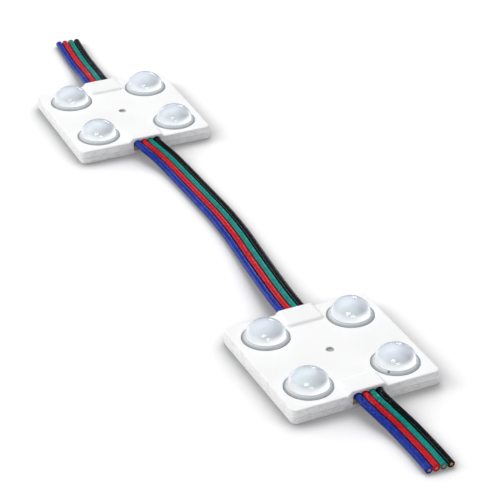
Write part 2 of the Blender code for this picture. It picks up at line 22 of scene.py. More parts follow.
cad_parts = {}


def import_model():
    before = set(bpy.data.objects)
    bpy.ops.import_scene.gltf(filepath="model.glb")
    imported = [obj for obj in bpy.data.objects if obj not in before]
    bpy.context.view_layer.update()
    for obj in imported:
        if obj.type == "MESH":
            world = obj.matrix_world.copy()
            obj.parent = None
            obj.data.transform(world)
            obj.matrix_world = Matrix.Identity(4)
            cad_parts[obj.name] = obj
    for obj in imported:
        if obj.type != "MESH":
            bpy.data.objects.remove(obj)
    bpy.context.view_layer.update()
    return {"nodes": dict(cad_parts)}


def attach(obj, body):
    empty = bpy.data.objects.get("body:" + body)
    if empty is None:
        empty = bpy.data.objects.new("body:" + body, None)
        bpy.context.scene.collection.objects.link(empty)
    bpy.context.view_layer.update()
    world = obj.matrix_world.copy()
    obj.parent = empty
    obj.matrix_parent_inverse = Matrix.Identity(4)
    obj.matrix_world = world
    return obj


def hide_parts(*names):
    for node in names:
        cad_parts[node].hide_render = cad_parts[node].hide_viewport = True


LOG = logging.getLogger("light_chain")

MM = 0.001
TINY = 1e-9
WELD = 1e-6
QUARTER = math.pi / 2
UP = np.array([0.0, 0.0, 1.0])
ROOT = "root"

Array = np.ndarray
Triple = tuple[float, float, float]
Colour = Triple
Span = tuple[float, float]
WHITE: Colour = (1.0, 1.0, 1.0)

# How a display turns its values into light: straight up to the knee, and by a power past it.
KNEE, STRAIGHT, SHIFT, POWER = 0.04045, 12.92, 0.055, 2.4


def linear(*shown: float) -> Colour:
    """A display colour as the linear light that a shader takes.

    Args:
        shown: Red, green and blue as displayed, from 0 to 255.

    Returns:
        Linear red, green and blue from 0 to 1.
    """
    part = np.array(shown) / 255
    lit = np.where(part <= KNEE, part / STRAIGHT, ((part + SHIFT) / (1 + SHIFT)) ** POWER)
    return tuple(lit.tolist())


# Shader maths


class Signal:
    """A number that varies over a surface: one output socket, with Python's arithmetic on it."""

    def __init__(self, sheet: NodeSheet, socket: bpy.types.NodeSocket) -> None:
        """Keep the socket and the sheet that new nodes go on."""
        self.sheet, self.socket = sheet, socket

    def _math(self, operation: str, *terms: Signal | float) -> Signal:
        """The result of a Math node on these terms."""
        settings = {"operation": operation}
        return self.sheet.signal("ShaderNodeMath", 0, settings, dict(enumerate(terms)))

    def __add__(self, other: Signal | float) -> Signal:
        """Sum."""
        return self._math("ADD", self, other)

    def __radd__(self, other: float) -> Signal:
        """Sum, with the number first."""
        return self._math("ADD", other, self)

    def __sub__(self, other: Signal | float) -> Signal:
        """Difference."""
        return self._math("SUBTRACT", self, other)

    def __rsub__(self, other: float) -> Signal:
        """Difference, with the number first."""
        return self._math("SUBTRACT", other, self)

    def __mul__(self, other: Signal | float) -> Signal:
        """Product."""
        return self._math("MULTIPLY", self, other)

    def __rmul__(self, other: float) -> Signal:
        """Product, with the number first."""
        return self._math("MULTIPLY", other, self)

    def __pow__(self, other: float) -> Signal:
        """Power."""
        return self._math("POWER", self, other)

    def larger(self, other: Signal | float) -> Signal:
        """The larger of two signals."""
        return self._math("MAXIMUM", self, other)

    def _from_to(self, low: float, high: float, easing: str) -> Signal:
        """The result of a Map Range node, held between 0 and 1.

        Args:
            low: What gives 0.
            high: What gives 1.
            easing: The node's kind of interpolation.

        Returns:
            The signal.
        """
        feeds = {"Value": self, "From Min": low, "From Max": high}
        settings = {"interpolation_type": easing}
        return self.sheet.signal("ShaderNodeMapRange", "Result", settings, feeds)

    def share(self, low: float, high: float) -> Signal:
        """How far the signal is from low, which gives 0, to high, which gives 1."""
        return self._from_to(low, high, "LINEAR")

    def within(self, low: float, high: float) -> Signal:
        """How far it is from low to high, eased at both ends."""
        return self._from_to(low, high, "SMOOTHSTEP")


class NodeSheet:
    """The node tree of a material or of the world, with one method that makes any node."""

    def __init__(self, owner: bpy.types.ID, output: str = "ShaderNodeOutputMaterial") -> None:
        """Clear the tree and give it a new output.

        Args:
            owner: The material or the world.
            output: The type of its output node.
        """
        owner.use_nodes = True
        self.tree = owner.node_tree
        self.tree.nodes.clear()
        self.output = self.node(output)

    def node(
        self, kind: str, settings: dict | None = None, feeds: dict | None = None
    ) -> bpy.types.Node:
        """Make a node, set it up, and then fill or link its input sockets.

        Args:
            kind: The node's type, as Blender names it.
            settings: Its properties. A ramp's "stops" are two pairs of place and colour.
            feeds: A value, a Signal or an output socket for each input, by its name or number.

        Returns:
            The new node.
        """
        made = self.tree.nodes.new(kind)
        for name, value in (settings or {}).items():
            if name == "stops":
                for stop, (place, colour) in zip(made.color_ramp.elements, value):
                    stop.position, stop.color = place, (*colour, 1.0)
            else:
                setattr(made, name, value)
        for name, value in (feeds or {}).items():
            self.feed(made.inputs[name], value)
        return made

    def feed(self, socket: bpy.types.NodeSocket, value: object) -> None:
        """Link an output to this socket, or set the socket's own value.

        Args:
            socket: An input.
            value: A Signal, an output socket, a number, or a colour or vector.
        """
        source = value.socket if isinstance(value, Signal) else value
        if isinstance(source, bpy.types.NodeSocket):
            self.tree.links.new(source, socket)
        elif socket.type == "RGBA":
            socket.default_value = (*source, 1.0)
        else:
            socket.default_value = source

    def signal(
        self, kind: str, output: str | int, settings: dict | None = None, feeds: dict | None = None
    ) -> Signal:
        """One output of a new node, as a Signal."""
        return Signal(self, self.node(kind, settings, feeds).outputs[output])

    def place(self) -> bpy.types.NodeSocket:
        """Where a point of the surface is, in the row frame."""
        return self.node("ShaderNodeTexCoord").outputs["Object"]

    def noise(
        self, scale: float, detail: float = 2.0, roughness: float = 0.5, flatten: float = 1.0
    ) -> Signal:
        """Soft noise over the surface.

        Args:
            scale: Blotches to a metre.
            detail: How many finer layers it has.
            roughness: How strong the finer layers are.
            flatten: How many times wider than high the blotches are.

        Returns:
            The noise, from 0 to 1 about 0.5.
        """
        feeds = {0: self.place(), 1: (1.0, 1.0, flatten)}
        place = self.node("ShaderNodeVectorMath", {"operation": "MULTIPLY"}, feeds).outputs[0]
        feeds = {"Vector": place, "Scale": scale, "Detail": detail, "Roughness": roughness}
        return self.signal("ShaderNodeTexNoise", "Fac", feeds=feeds)

    def facing_up(self) -> Signal:
        """The Z part of the surface's own direction: 1 on a top, 0 on a side."""
        normal = self.node("ShaderNodeNewGeometry").outputs["Normal"]
        return self.signal("ShaderNodeSeparateXYZ", "Z", feeds={"Vector": normal})

    def level(self) -> Signal:
        """The same part squared: 1 on a top or an underside, 0 on a side."""
        facing = self.facing_up()
        return facing * facing

    def height(self) -> Signal:
        """How high the surface is over the table."""
        return self.signal("ShaderNodeSeparateXYZ", "Z", feeds={"Vector": self.place()})

    def edge_on(self) -> Signal:
        """How slantwise the surface is seen: 0 from straight in front, 1 along it."""
        return self.signal("ShaderNodeLayerWeight", "Facing", feeds={"Blend": 0.5})

    def distance(self, point: Triple) -> Signal:
        """How far the surface is from a point in the row frame."""
        settings = {"operation": "DISTANCE"}
        return self.signal("ShaderNodeVectorMath", "Value", settings, {0: self.place(), 1: point})

    def painted_shade(self) -> Signal:
        """The mesh's shade attribute: painted shade for how little light reaches a place, from 0 to
        1.
        """
        return self.signal("ShaderNodeAttribute", "Fac", {"attribute_name": "painted_shade"})

    def blend(self, share: Signal | float, first: object, second: object) -> bpy.types.NodeSocket:
        """A colour between two colours or outputs: the first at a share of 0, the second at 1."""
        feeds = {"Factor": share, 6: first, 7: second}
        return self.node("ShaderNodeMix", {"data_type": "RGBA"}, feeds).outputs[2]

    def bump(self, height: Signal, depth: float) -> bpy.types.NodeSocket:
        """A normal that follows a height, where a height of 1 stands this depth proud."""
        feeds = {"Height": height, "Distance": depth, "Strength": 1.0}
        return self.node("ShaderNodeBump", feeds=feeds).outputs["Normal"]

    def principled(self, **feeds: object) -> bpy.types.Node:
        """A Principled shader, whose inputs are named with underscores for spaces."""
        named = {name.replace("_", " "): value for name, value in feeds.items()}
        return self.node("ShaderNodeBsdfPrincipled", feeds=named)

    def matt(self, colour: object) -> bpy.types.Node:
        """A shader of this colour with no gloss at all."""
        return self.principled(Base_Color=colour, Roughness=1.0, Specular_IOR_Level=0.0)

    def mixed(
        self, share: Signal | float, first: bpy.types.Node, second: bpy.types.Node
    ) -> bpy.types.Node:
        """Two shaders in one: a share of 0 gives the first and 1 the second."""
        feeds = {0: share, 1: first.outputs[0], 2: second.outputs[0]}
        return self.node("ShaderNodeMixShader", feeds=feeds)

    def open_to_lamps(self, shader: bpy.types.Node, tint: Colour) -> bpy.types.Node:
        """A shader that lets the light of lamps through with this tint.

        Args:
            shader: How it looks.
            tint: The light that passes.

        Returns:
            The two in one.
        """
        clear = self.node("ShaderNodeBsdfTransparent", feeds={"Color": tint})
        shadow = self.signal("ShaderNodeLightPath", "Is Shadow Ray")
        return self.mixed(shadow, shader, clear)

    def show(self, shader: bpy.types.Node) -> None:
        """Put this shader on the output."""
        self.tree.links.new(shader.outputs[0], self.output.inputs["Surface"])


def uneven(level: float, noise: Signal, depth: float) -> Signal:
    """A level that a noise moves up and down by up to half this depth."""
    return level + depth * (noise - 0.5)


# Finishes

ACRYLIC = {"IOR": 1.49, "Transmission_Weight": 1.0}
ACRYLIC_TINT: Colour = (0.97, 0.98, 1.0)


@dataclass(frozen=True)
class Finish:
    """How a surface looks. Each kind of finish is a class of its own."""

    name: str

    def shader(self, sheet: NodeSheet) -> bpy.types.Node:
        """Make the finish's nodes, and give the shader that they end in."""
        raise NotImplementedError

    def material(self) -> bpy.types.Material:
        """The finish as a new material.

        Returns:
            The material.
        """
        made = bpy.data.materials.new(self.name)
        sheet = NodeSheet(made)
        sheet.show(self.shader(sheet))
        return made


@dataclass(frozen=True)
class MouldedWhite(Finish):
    """Satin white moulded plastic, faintly cloudy, with a fine skin, streaky walls and painted
    shade where the mesh marks it.
    """

    tone: Colour
    shade: Colour
    # The colour of the painted shade in the tunnels and the dimple.
    hidden: Colour = linear(176, 177, 178)
    grain: Colour = linear(206, 206, 204)
    grain_scale: float = 620.0
    grain_flatten: float = 2.4
    grain_share: float = 0.6
    grain_span: Span = (0.44, 0.72)
    wall_span: Span = (0.3, 0.9)
    roughness: float = 0.36
    cloud_scale: float = 95.0
    cloud_span: Span = (0.3, 0.75)
    skin_scale: float = 2600.0
    skin_depth: float = 0.006 * MM
    scatter: float = 0.4 * MM

    def shader(self, sheet: NodeSheet) -> bpy.types.Node:
        """The white plastic, with painted shade where the mesh's shade attribute says that light
        hardly reaches.

        Args:
            sheet: Where its nodes go.

        Returns:
            The shader.
        """
        cloud = sheet.noise(self.cloud_scale, 3.0, 0.55)
        colour = sheet.blend(cloud.within(*self.cloud_span), self.tone, self.shade)
        wall = 1 - sheet.level().within(*self.wall_span)
        grain = sheet.noise(self.grain_scale, 4.0, 0.7, self.grain_flatten).within(*self.grain_span)
        colour = sheet.blend(self.grain_share * wall * grain, colour, self.grain)
        return sheet.principled(
            # Painted shade where the mesh's shade attribute says light hardly reaches.
            Base_Color=sheet.blend(sheet.painted_shade(), colour, self.hidden),
            Roughness=uneven(self.roughness, cloud, 0.12),
            IOR=1.5,
            Subsurface_Weight=0.05,
            Subsurface_Radius=(1.0, 0.95, 0.9),
            Subsurface_Scale=self.scatter,
            Normal=sheet.bump(sheet.noise(self.skin_scale), self.skin_depth),
        )


@dataclass(frozen=True)
class LensSkin(Finish):
    """The outer face of a lens: clear and polished on the dome, matt grey with painted shade on the
    skirt.

    Where the upper dome is seen edge on, a matt lavender tint is mixed in, pale blue lower down:
    a painted reflection of the surroundings.
    """

    name: str = "clear_acrylic"
    roughness: float = 0.1
    # Painted shade in the groove round the skirt's foot.
    groove: Colour = (0.22, 0.24, 0.24)
    # Matt grey: partly a frosted finish, partly painted shade of the dark gap seen through the
    # skirt.
    skirt: Colour = (0.66, 0.69, 0.71)
    skirt_span: Span = (3.58 * MM, 4.0 * MM)
    dome_span: Span = (4.05 * MM, 4.35 * MM)
    skirt_share: float = 0.85
    # Painted reflection: pale blue low on the dome, lavender high on it.
    painted_rim_low: Colour = (0.70, 0.80, 0.95)
    painted_rim_high: Colour = (0.38, 0.43, 0.56)
    painted_rim_share: float = 0.75
    rim_span: Span = (0.62, 0.94)
    rim_height: Span = (5.2 * MM, 6.8 * MM)
    fleck: Triple | None = None
    fleck_tone: Colour = (0.03, 0.03, 0.035)
    fleck_span: Span = (0.135 * MM, 0.405 * MM)

    def shader(self, sheet: NodeSheet) -> bpy.types.Node:
        """The outer face, with one dark fleck where a place for it is given.

        Args:
            sheet: Where its nodes go.

        Returns:
            The shader.
        """
        height = sheet.height()
        # Painted shade in the groove at the skirt's foot, grading to the skirt's grey.
        tone = sheet.blend(height.within(*self.skirt_span), self.groove, self.skirt)
        if self.fleck is not None:
            off = sheet.distance(self.fleck).within(*self.fleck_span)
            tone = sheet.blend(off, self.fleck_tone, tone)
        glass = sheet.principled(
            Base_Color=ACRYLIC_TINT, Roughness=self.roughness, Specular_IOR_Level=1.0, **ACRYLIC
        )
        # A painted reflection where the dome is seen edge on.
        painted_rim_tone = sheet.blend(height.within(*self.rim_height), self.painted_rim_low, self.painted_rim_high)
        painted_rim_share = self.painted_rim_share * sheet.edge_on().within(*self.rim_span)
        glass = sheet.mixed(painted_rim_share, glass, sheet.matt(painted_rim_tone))
        skirt_share = self.skirt_share * (1 - height.within(*self.dome_span))
        return sheet.open_to_lamps(sheet.mixed(skirt_share, glass, sheet.matt(tone)), ACRYLIC_TINT)


@dataclass(frozen=True)
class LensHollow(Finish):
    """The inner face of a lens: frosted near its foot, with painted light making it white there,
    grey and clearer in its crown.

    The frost both sends light back and lets it through. Each share and glow is its value at the
    foot, and at the crown.
    """

    name: str = "frosted_acrylic"
    roughness: float = 0.12
    crown: Colour = (0.56, 0.63, 0.65)
    pearl: Colour = (0.58, 0.61, 0.67)
    cloud_scale: float = 300.0
    cloud_span: Span = (0.35, 0.65)
    rise_span: Span = (4.4 * MM, 5.6 * MM)
    clear_span: Span = (0.3, 0.75)
    frost: Span = (1.0, 0.78)
    glow: Span = (0.92, 0.05)

    def shader(self, sheet: NodeSheet) -> bpy.types.Node:
        """The inner face, clearer where it is seen edge on.

        Args:
            sheet: Where its nodes go.

        Returns:
            The shader.
        """
        rise = sheet.height().within(*self.rise_span)
        glow, frost = (foot + (crown - foot) * rise for foot, crown in (self.glow, self.frost))
        cloud = sheet.noise(self.cloud_scale).within(*self.cloud_span)
        # White at the foot is painted light for the bright crescent that light gathers into there.
        tone = sheet.blend(rise, WHITE, sheet.blend(cloud, self.crown, self.pearl))
        glass = sheet.principled(Base_Color=ACRYLIC_TINT, Roughness=self.roughness, **ACRYLIC)
        behind = sheet.node("ShaderNodeBsdfTranslucent", feeds={"Color": WHITE})
        frost = frost * (1 - sheet.edge_on().within(*self.clear_span))
        both = sheet.mixed(frost, glass, sheet.mixed(glow, sheet.matt(tone), behind))
        return sheet.open_to_lamps(both, ACRYLIC_TINT)


@dataclass(frozen=True)
class Insulation(Finish):
    """Satin extruded insulation of one colour, with painted shade in its grooves and handling
    scuffs.

    The scuffs are pale and dark specks, more of them where the cable was pressed into a housing.
    Each kind's share is its value on the open cable, and what being pressed adds to it.
    """

    colour: Colour
    light: Colour
    scuff: Colour
    roughness: float = 0.28
    groove_shade: float = 0.24
    mottle_scale: float = 420.0
    mottle_span: Span = (0.35, 0.8)
    speck_scale: float = 2300.0
    speck_depth: float = 0.012 * MM
    dark_span: Span = (0.36, 0.5)
    dark_share: Span = (0.1, 0.5)
    pale_span: Span = (0.56, 0.7)
    pale_share: Span = (0.18, 0.5)
    pressed_at: Triple = (18.0 * MM, 0.0, 3.3 * MM)
    pressed_span: Span = (2.0 * MM, 13.0 * MM)

    def shader(self, sheet: NodeSheet) -> bpy.types.Node:
        """The wire's skin, with painted shade deep in the ribbon's grooves, where the mesh's shade
        attribute says so.

        Args:
            sheet: Where its nodes go.

        Returns:
            The shader.
        """
        mottle = sheet.noise(self.mottle_scale, 3.0, 0.6)
        speck = sheet.noise(self.speck_scale, 3.0, 0.6)
        pressed = 1 - sheet.distance(self.pressed_at).within(*self.pressed_span)
        dark, pale = (base + more * pressed for base, more in (self.dark_share, self.pale_share))
        # The colour of the painted shade in the grooves, which the dark scuff specks share.
        shade = tuple(self.groove_shade * part for part in self.colour)
        colour = sheet.blend(mottle.within(*self.mottle_span), self.colour, self.light)
        colour = sheet.blend(dark * (1 - speck.within(*self.dark_span)), colour, shade)
        colour = sheet.blend(pale * speck.within(*self.pale_span), colour, self.scuff)
        return sheet.principled(
            # Painted shade in the grooves between the wires.
            Base_Color=sheet.blend(sheet.painted_shade(), colour, shade),
            Roughness=uneven(self.roughness, speck, 0.3),
            IOR=1.48,
            Specular_IOR_Level=0.14,
            Normal=sheet.bump(speck, self.speck_depth),
        )


@dataclass(frozen=True)
class PlainMetal(Finish):
    """Bare metal, slightly uneven in shine: the strands, the solder and the packages' leads."""

    colour: Colour
    roughness: float
    scale: float = 1800.0

    def shader(self, sheet: NodeSheet) -> bpy.types.Node:
        """The metal."""
        shine = uneven(self.roughness, sheet.noise(self.scale), 0.2)
        return sheet.principled(Base_Color=self.colour, Metallic=1.0, Roughness=shine)


@dataclass(frozen=True)
class DullSolid(Finish):
    """A plain finish with a little cloudiness, for packages, ceramic and resin."""

    colour: Colour
    shade: Colour
    roughness: float
    scale: float = 900.0

    def shader(self, sheet: NodeSheet) -> bpy.types.Node:
        """The cloudy finish.

        Args:
            sheet: Where its nodes go.

        Returns:
            The shader.
        """
        cloud = sheet.noise(self.scale, 3.0)
        colour = sheet.blend(cloud.within(0.3, 0.7), self.colour, self.shade)
        return sheet.principled(Base_Color=colour, Roughness=uneven(self.roughness, cloud, 0.1))


@dataclass(frozen=True)
class SolderMask(Finish):
    """A circuit board: white mask on its faces and bare glass fibre on its edges."""

    name: str = "board_mask"
    mask: Colour = linear(236, 237, 234)
    fibre: Colour = linear(196, 178, 122)
    fibre_shade: Colour = linear(160, 140, 88)
    weave_scale: float = 3000.0

    def shader(self, sheet: NodeSheet) -> bpy.types.Node:
        """The board's finish, told apart by which way the surface faces.

        Args:
            sheet: Where its nodes go.

        Returns:
            The shader.
        """
        weave = sheet.noise(self.weave_scale)
        edge = sheet.blend(weave.within(0.3, 0.7), self.fibre, self.fibre_shade)
        colour = sheet.blend(sheet.level().within(0.5, 0.9), edge, self.mask)
        return sheet.principled(Base_Color=colour, Roughness=uneven(0.45, weave, 0.2))


@dataclass(frozen=True)
class TapeLiner(Finish):
    """The paper liner under the double-sided tape, and the grey foam of its other faces."""

    name: str = "tape_liner"
    paper: Colour = linear(226, 221, 202)
    paper_shade: Colour = linear(212, 206, 184)
    foam: Colour = linear(150, 152, 154)
    fibre_scale: float = 900.0
    fibre_depth: float = 0.01 * MM

    def shader(self, sheet: NodeSheet) -> bpy.types.Node:
        """The liner and the foam, told apart by which way the surface faces.

        Args:
            sheet: Where its nodes go.

        Returns:
            The shader.
        """
        down = (0 - sheet.facing_up()).within(0.5, 0.9)
        fibre = sheet.noise(self.fibre_scale, 4.0, 0.65)
        paper = sheet.blend(fibre.within(0.3, 0.7), self.paper, self.paper_shade)
        return sheet.principled(
            Base_Color=sheet.blend(down, self.foam, paper),
            Roughness=uneven(0.7, fibre, 0.2),
            Normal=sheet.bump(fibre, self.fibre_depth),
        )


@dataclass(frozen=True)
class SideShadow:
    """A faint painted shadow on one side of the object, as from a low soft lamp on its other side.
    """

    lamp: Triple
    reach: float
    share: float


@dataclass(frozen=True)
class StudioFloor(Finish):
    """The white table, with a painted soft shadow all round the object's foot.

    The painted shadow is darkest where the object shuts out the sky, and two fainter ones lie
    behind the object and in front of it. Rays that see the table find a little white light added to
    it.
    """

    name: str = "studio_floor"
    colour: Colour = (0.93, 0.93, 0.93)
    shown: Colour = (0.83, 0.83, 0.83)
    shaded: Colour = (0.24, 0.24, 0.245)
    contact: float = 12.0 * MM
    contact_span: Span = (0.48, 0.95)
    contact_curve: float = 1.35
    sides: tuple[SideShadow, ...] = (
        SideShadow((0.785, -0.366, 0.5), 7.0 * MM, 0.5),
        SideShadow((-0.86, 0.1, 0.5), 13.0 * MM, 0.55),
    )
    lift: float = 0.2

    def openness(self, sheet: NodeSheet, reach: float, **towards: object) -> Signal:
        """How little the object shuts out round a point of the table.

        Args:
            sheet: Where the nodes go.
            reach: How far it looks.
            towards: As Normal, the middle of the half space it looks into, unless that is above.

        Returns:
            1 where nothing is near.
        """
        settings, feeds = {"samples": 16, "only_local": False}, {"Distance": reach, **towards}
        return sheet.signal("ShaderNodeAmbientOcclusion", "AO", settings, feeds)

    def shader(self, sheet: NodeSheet) -> bpy.types.Node:
        """The table, with its painted shadow only where it is seen, so that it lights the object
        evenly.

        Args:
            sheet: Where its nodes go.

        Returns:
            The shader.
        """
        foot = self.openness(sheet, self.contact).share(*self.contact_span) ** self.contact_curve
        for side in self.sides:
            lamp = sheet.node("ShaderNodeCombineXYZ", feeds=dict(enumerate(side.lamp))).outputs[0]
            foot = foot * (1 - side.share * (1 - self.openness(sheet, side.reach, Normal=lamp)))
        rays = sheet.node("ShaderNodeLightPath").outputs
        seen = Signal(sheet, rays["Is Camera Ray"])
        for kind in ("Is Glossy Ray", "Is Transmission Ray"):
            seen = seen.larger(Signal(sheet, rays[kind]))
        table = sheet.matt(sheet.blend(foot, self.shaded, self.shown))
        glow = sheet.node("ShaderNodeEmission", feeds={"Color": WHITE, "Strength": self.lift})
        lit = sheet.node("ShaderNodeAddShader", feeds={0: table.outputs[0], 1: glow.outputs[0]})
        return sheet.mixed(seen, sheet.matt(self.colour), lit)


class WireColour(Enum):
    """The four wires, in their order across the cable from -Y to +Y."""

    BLUE = "blue"
    RED = "red"
    GREEN = "green"
    BLACK = "black"


# Each wire's colour, its lighter blotches and its pale scuffs.
WIRE_TONES = {
    WireColour.BLUE: (linear(14, 42, 136), linear(24, 56, 160), linear(96, 120, 205)),
    WireColour.RED: (linear(184, 10, 28), linear(206, 18, 40), linear(232, 110, 118)),
    WireColour.GREEN: (linear(2, 124, 116), linear(8, 144, 134), linear(130, 214, 204)),
    WireColour.BLACK: (linear(4, 5, 8), linear(10, 11, 16), linear(84, 88, 98)),
}
COVER_WHITE = MouldedWhite("white_cover", linear(247, 247, 246), linear(243, 243, 242))
TRAY_WHITE = MouldedWhite("white_tray", linear(244, 244, 242), linear(240, 240, 238))
PACKAGE_WHITE = DullSolid("package_white", linear(232, 232, 228), linear(224, 224, 221), 0.4)
PACKAGE_RESIN = DullSolid(
    "package_resin", linear(224, 226, 214), linear(206, 208, 196), 0.12, 1600.0
)
LEAD_METAL = PlainMetal("lead_metal", linear(205, 205, 208), 0.3)
CUT_COPPER = PlainMetal("cut_copper", linear(214, 132, 92), 0.32)
CARRIED_OVER = {
    "circuit_board": SolderMask(),
    "adhesive_pad": TapeLiner(),
    "resistor": DullSolid("resistor_ceramic", linear(24, 24, 26), linear(36, 36, 38), 0.5),
    "solder": PlainMetal("bright_solder", linear(200, 200, 204), 0.25),
}


class FinishBook:
    """Makes each finish's material once, and hands it out again."""

    def __init__(self) -> None:
        """Start with no material made."""
        self.made: dict[Finish, bpy.types.Material] = {}

    def material(self, finish: Finish) -> bpy.types.Material:
        """The material of a finish.

        Args:
            finish: The finish.

        Returns:
            Its one material.
        """
        if finish not in self.made:
            self.made[finish] = finish.material()
        return self.made[finish]


# Meshes from arrays


@dataclass(frozen=True)
class Placement:
    """Where a module lies on the surface, and how far it is turned."""

    name: str
    x: float
    y: float
    angle: float

    def world(self, points: Array) -> Array:
        """Points of the module in the row frame: turned about Z, then moved.

        Args:
            points: Points in the module's own frame, with the axis last.

        Returns:
            The points in the row frame.
        """
        cos, sin = math.cos(self.angle), math.sin(self.angle)
        flat = points[..., :2] @ np.array([(cos, sin), (-sin, cos)]) + (self.x, self.y)
        return np.concatenate([flat, points[..., 2:]], axis=-1)


NEAR = Placement("module_1", 0.0, 0.0, 0.0)
FAR = Placement("module_2", -126.4 * MM, 2.5 * MM, math.radians(-1.6))


class Body:
    """Gathers surfaces that were worked out as arrays, and makes one mesh of them."""

    def __init__(self, placement: Placement = NEAR) -> None:
        """Start empty.

        Args:
            placement: The module whose frame its points are in.
        """
        self.placement = placement
        self.points: list[Array] = []
        self.faces: list[list[int]] = []
        self.slots: list[int] = []
        self.marks: list[Array] = []
        self.count = 0

    def add(self, points: Array, faces: Array, slot: int = 0, mark: Array | float = 0.0) -> None:
        """Take in a surface.

        Args:
            points: Its points, one row each.
            faces: A row of indices into the points for each face.
            slot: The material slot of its faces.
            mark: What its points hold in the attribute "recess".
        """
        self.points.append(self.placement.world(points))
        self.faces += (faces + self.count).tolist()
        self.slots += [slot] * len(faces)
        self.marks.append(np.broadcast_to(mark, (len(points),)))
        self.count += len(points)

    def grid(
        self,
        points: Array,
        closed: bool = False,
        keep: Array | None = None,
        slot: int = 0,
        mark: Array | float = 0.0,
    ) -> None:
        """Take in a surface whose points lie on a grid of two parameters.

        Args:
            points: Points by row, column and axis.
            closed: Whether the last column meets the first.
            keep: Which strips between neighbouring columns are there. All are, without it.
            slot: The material slot.
            mark: The value of the attribute "recess": one number, or one for each column.
        """
        rows, columns = points.shape[:2]
        index = np.arange(rows * columns).reshape(rows, columns)
        if closed:
            index = np.concatenate([index, index[:, :1]], axis=1)
        if keep is None:
            keep = np.ones(index.shape[1] - 1, bool)
        corners = (index[:-1, :-1], index[:-1, 1:], index[1:, 1:], index[1:, :-1])
        faces = np.stack([corner[:, keep].reshape(-1) for corner in corners], axis=1)
        marks = np.broadcast_to(mark, (rows, columns)).reshape(-1)
        self.add(points.reshape(-1, 3), faces, slot, marks)

    def object(
        self, name: str, finishes: Sequence[Finish], book: FinishBook, sharp: float = 40.0
    ) -> bpy.types.Object:
        """One mesh object, with touching points made one and every face turned outwards.

        Args:
            name: The piece's name.
            finishes: What its material slots hold.
            book: Where the materials come from.
            sharp: The angle in degrees past which an edge stays crisp.

        Returns:
            The object, linked to the scene.
        """
        mesh = bpy.data.meshes.new(name)
        mesh.from_pydata(np.concatenate(self.points).tolist(), [], self.faces)
        mesh.polygons.foreach_set("material_index", self.slots)
        # The attribute that says how much painted shade each point gets.
        painted_shade = mesh.attributes.new("painted_shade", "FLOAT", "POINT")
        painted_shade.data.foreach_set("value", np.concatenate(self.marks))
        shape = bmesh.new()
        shape.from_mesh(mesh)
        bmesh.ops.remove_doubles(shape, verts=shape.verts, dist=WELD)
        bmesh.ops.recalc_face_normals(shape, faces=shape.faces)
        open_edges = sum(not edge.is_manifold for edge in shape.edges)
        shape.to_mesh(mesh)
        shape.free()
        if open_edges:
            LOG.warning("%s has %d open edges", name, open_edges)
        mesh.shade_smooth()
        mesh.set_sharp_from_angle(angle=math.radians(sharp))
        for finish in finishes:
            mesh.materials.append(book.material(finish))
        made = bpy.data.objects.new(name, mesh)
        bpy.context.scene.collection.objects.link(made)
        return made


def tied(piece: bpy.types.Object, replaced: str | None = None) -> bpy.types.Object:
    """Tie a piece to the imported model.

    Args:
        piece: The piece.
        replaced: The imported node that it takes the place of, if there is one.

    Returns:
        The same piece.
    """
    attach(piece, ROOT)
    if replaced:
        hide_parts(replaced)
    return piece


def angles(count: int) -> Array:
    """Evenly spaced angles once round."""
    return np.linspace(0.0, 2 * math.pi, count, endpoint=False)


def turned(profile: Array, segments: int, x: float = 0.0, y: float = 0.0) -> Array:
    """A profile turned about an upright axis: its radius times cosine and sine of the angle.

    Args:
        profile: Rows of radius and height.
        segments: Steps round the axis.
        x: The axis's place.
        y: The axis's place.

    Returns:
        Points by profile row, angle and axis.
    """
    angle, radius = angles(segments), profile[:, :1]
    height = np.broadcast_to(profile[:, 1:], (len(profile), segments))
    return np.stack([x + radius * np.cos(angle), y + radius * np.sin(angle), height], axis=-1)


def ring(x: float, y: float, radius: float, segments: int) -> Array:
    """Flat points round a circle."""
    return turned(np.array([(radius, 0.0)]), segments, x, y)[0, :, :2]


def lifted(flat: Array, height: Array | float) -> Array:
    """Flat points at one height, or each at its own."""
    return np.column_stack([flat, np.broadcast_to(height, len(flat))])


def arc(middle: Span, radii: Span, start: float, end: float, steps: int) -> Array:
    """Points on an ellipse: its middle, plus its radii times the angle's cosine and sine.

    Args:
        middle: The ellipse's middle in a profile's plane.
        radii: Its level and upright radius. A negative one turns its side round.
        start: The first angle in degrees.
        end: The last one.
        steps: How many points it gives.

    Returns:
        The profile's rows.
    """
    angle = np.radians(np.linspace(start, end, steps))[:, None]
    return np.array(middle) + np.array(radii) * np.concatenate([np.cos(angle), np.sin(angle)], 1)


def rounded(radius: float, steps: int) -> Array:
    """Rows of inset and drop down a rounded edge, from the flat to the wall: a quarter circle."""
    return arc((radius, -radius), (-radius, radius), 90.0, 0.0, steps)


# The cable

WIRE_PITCH = 1.72 * MM
WIRE_EXIT_Z = 2.9 * MM
WIRE_START = 15.0 * MM
HALF_SIDE = 18.0 * MM
CURVE_STEPS = 40

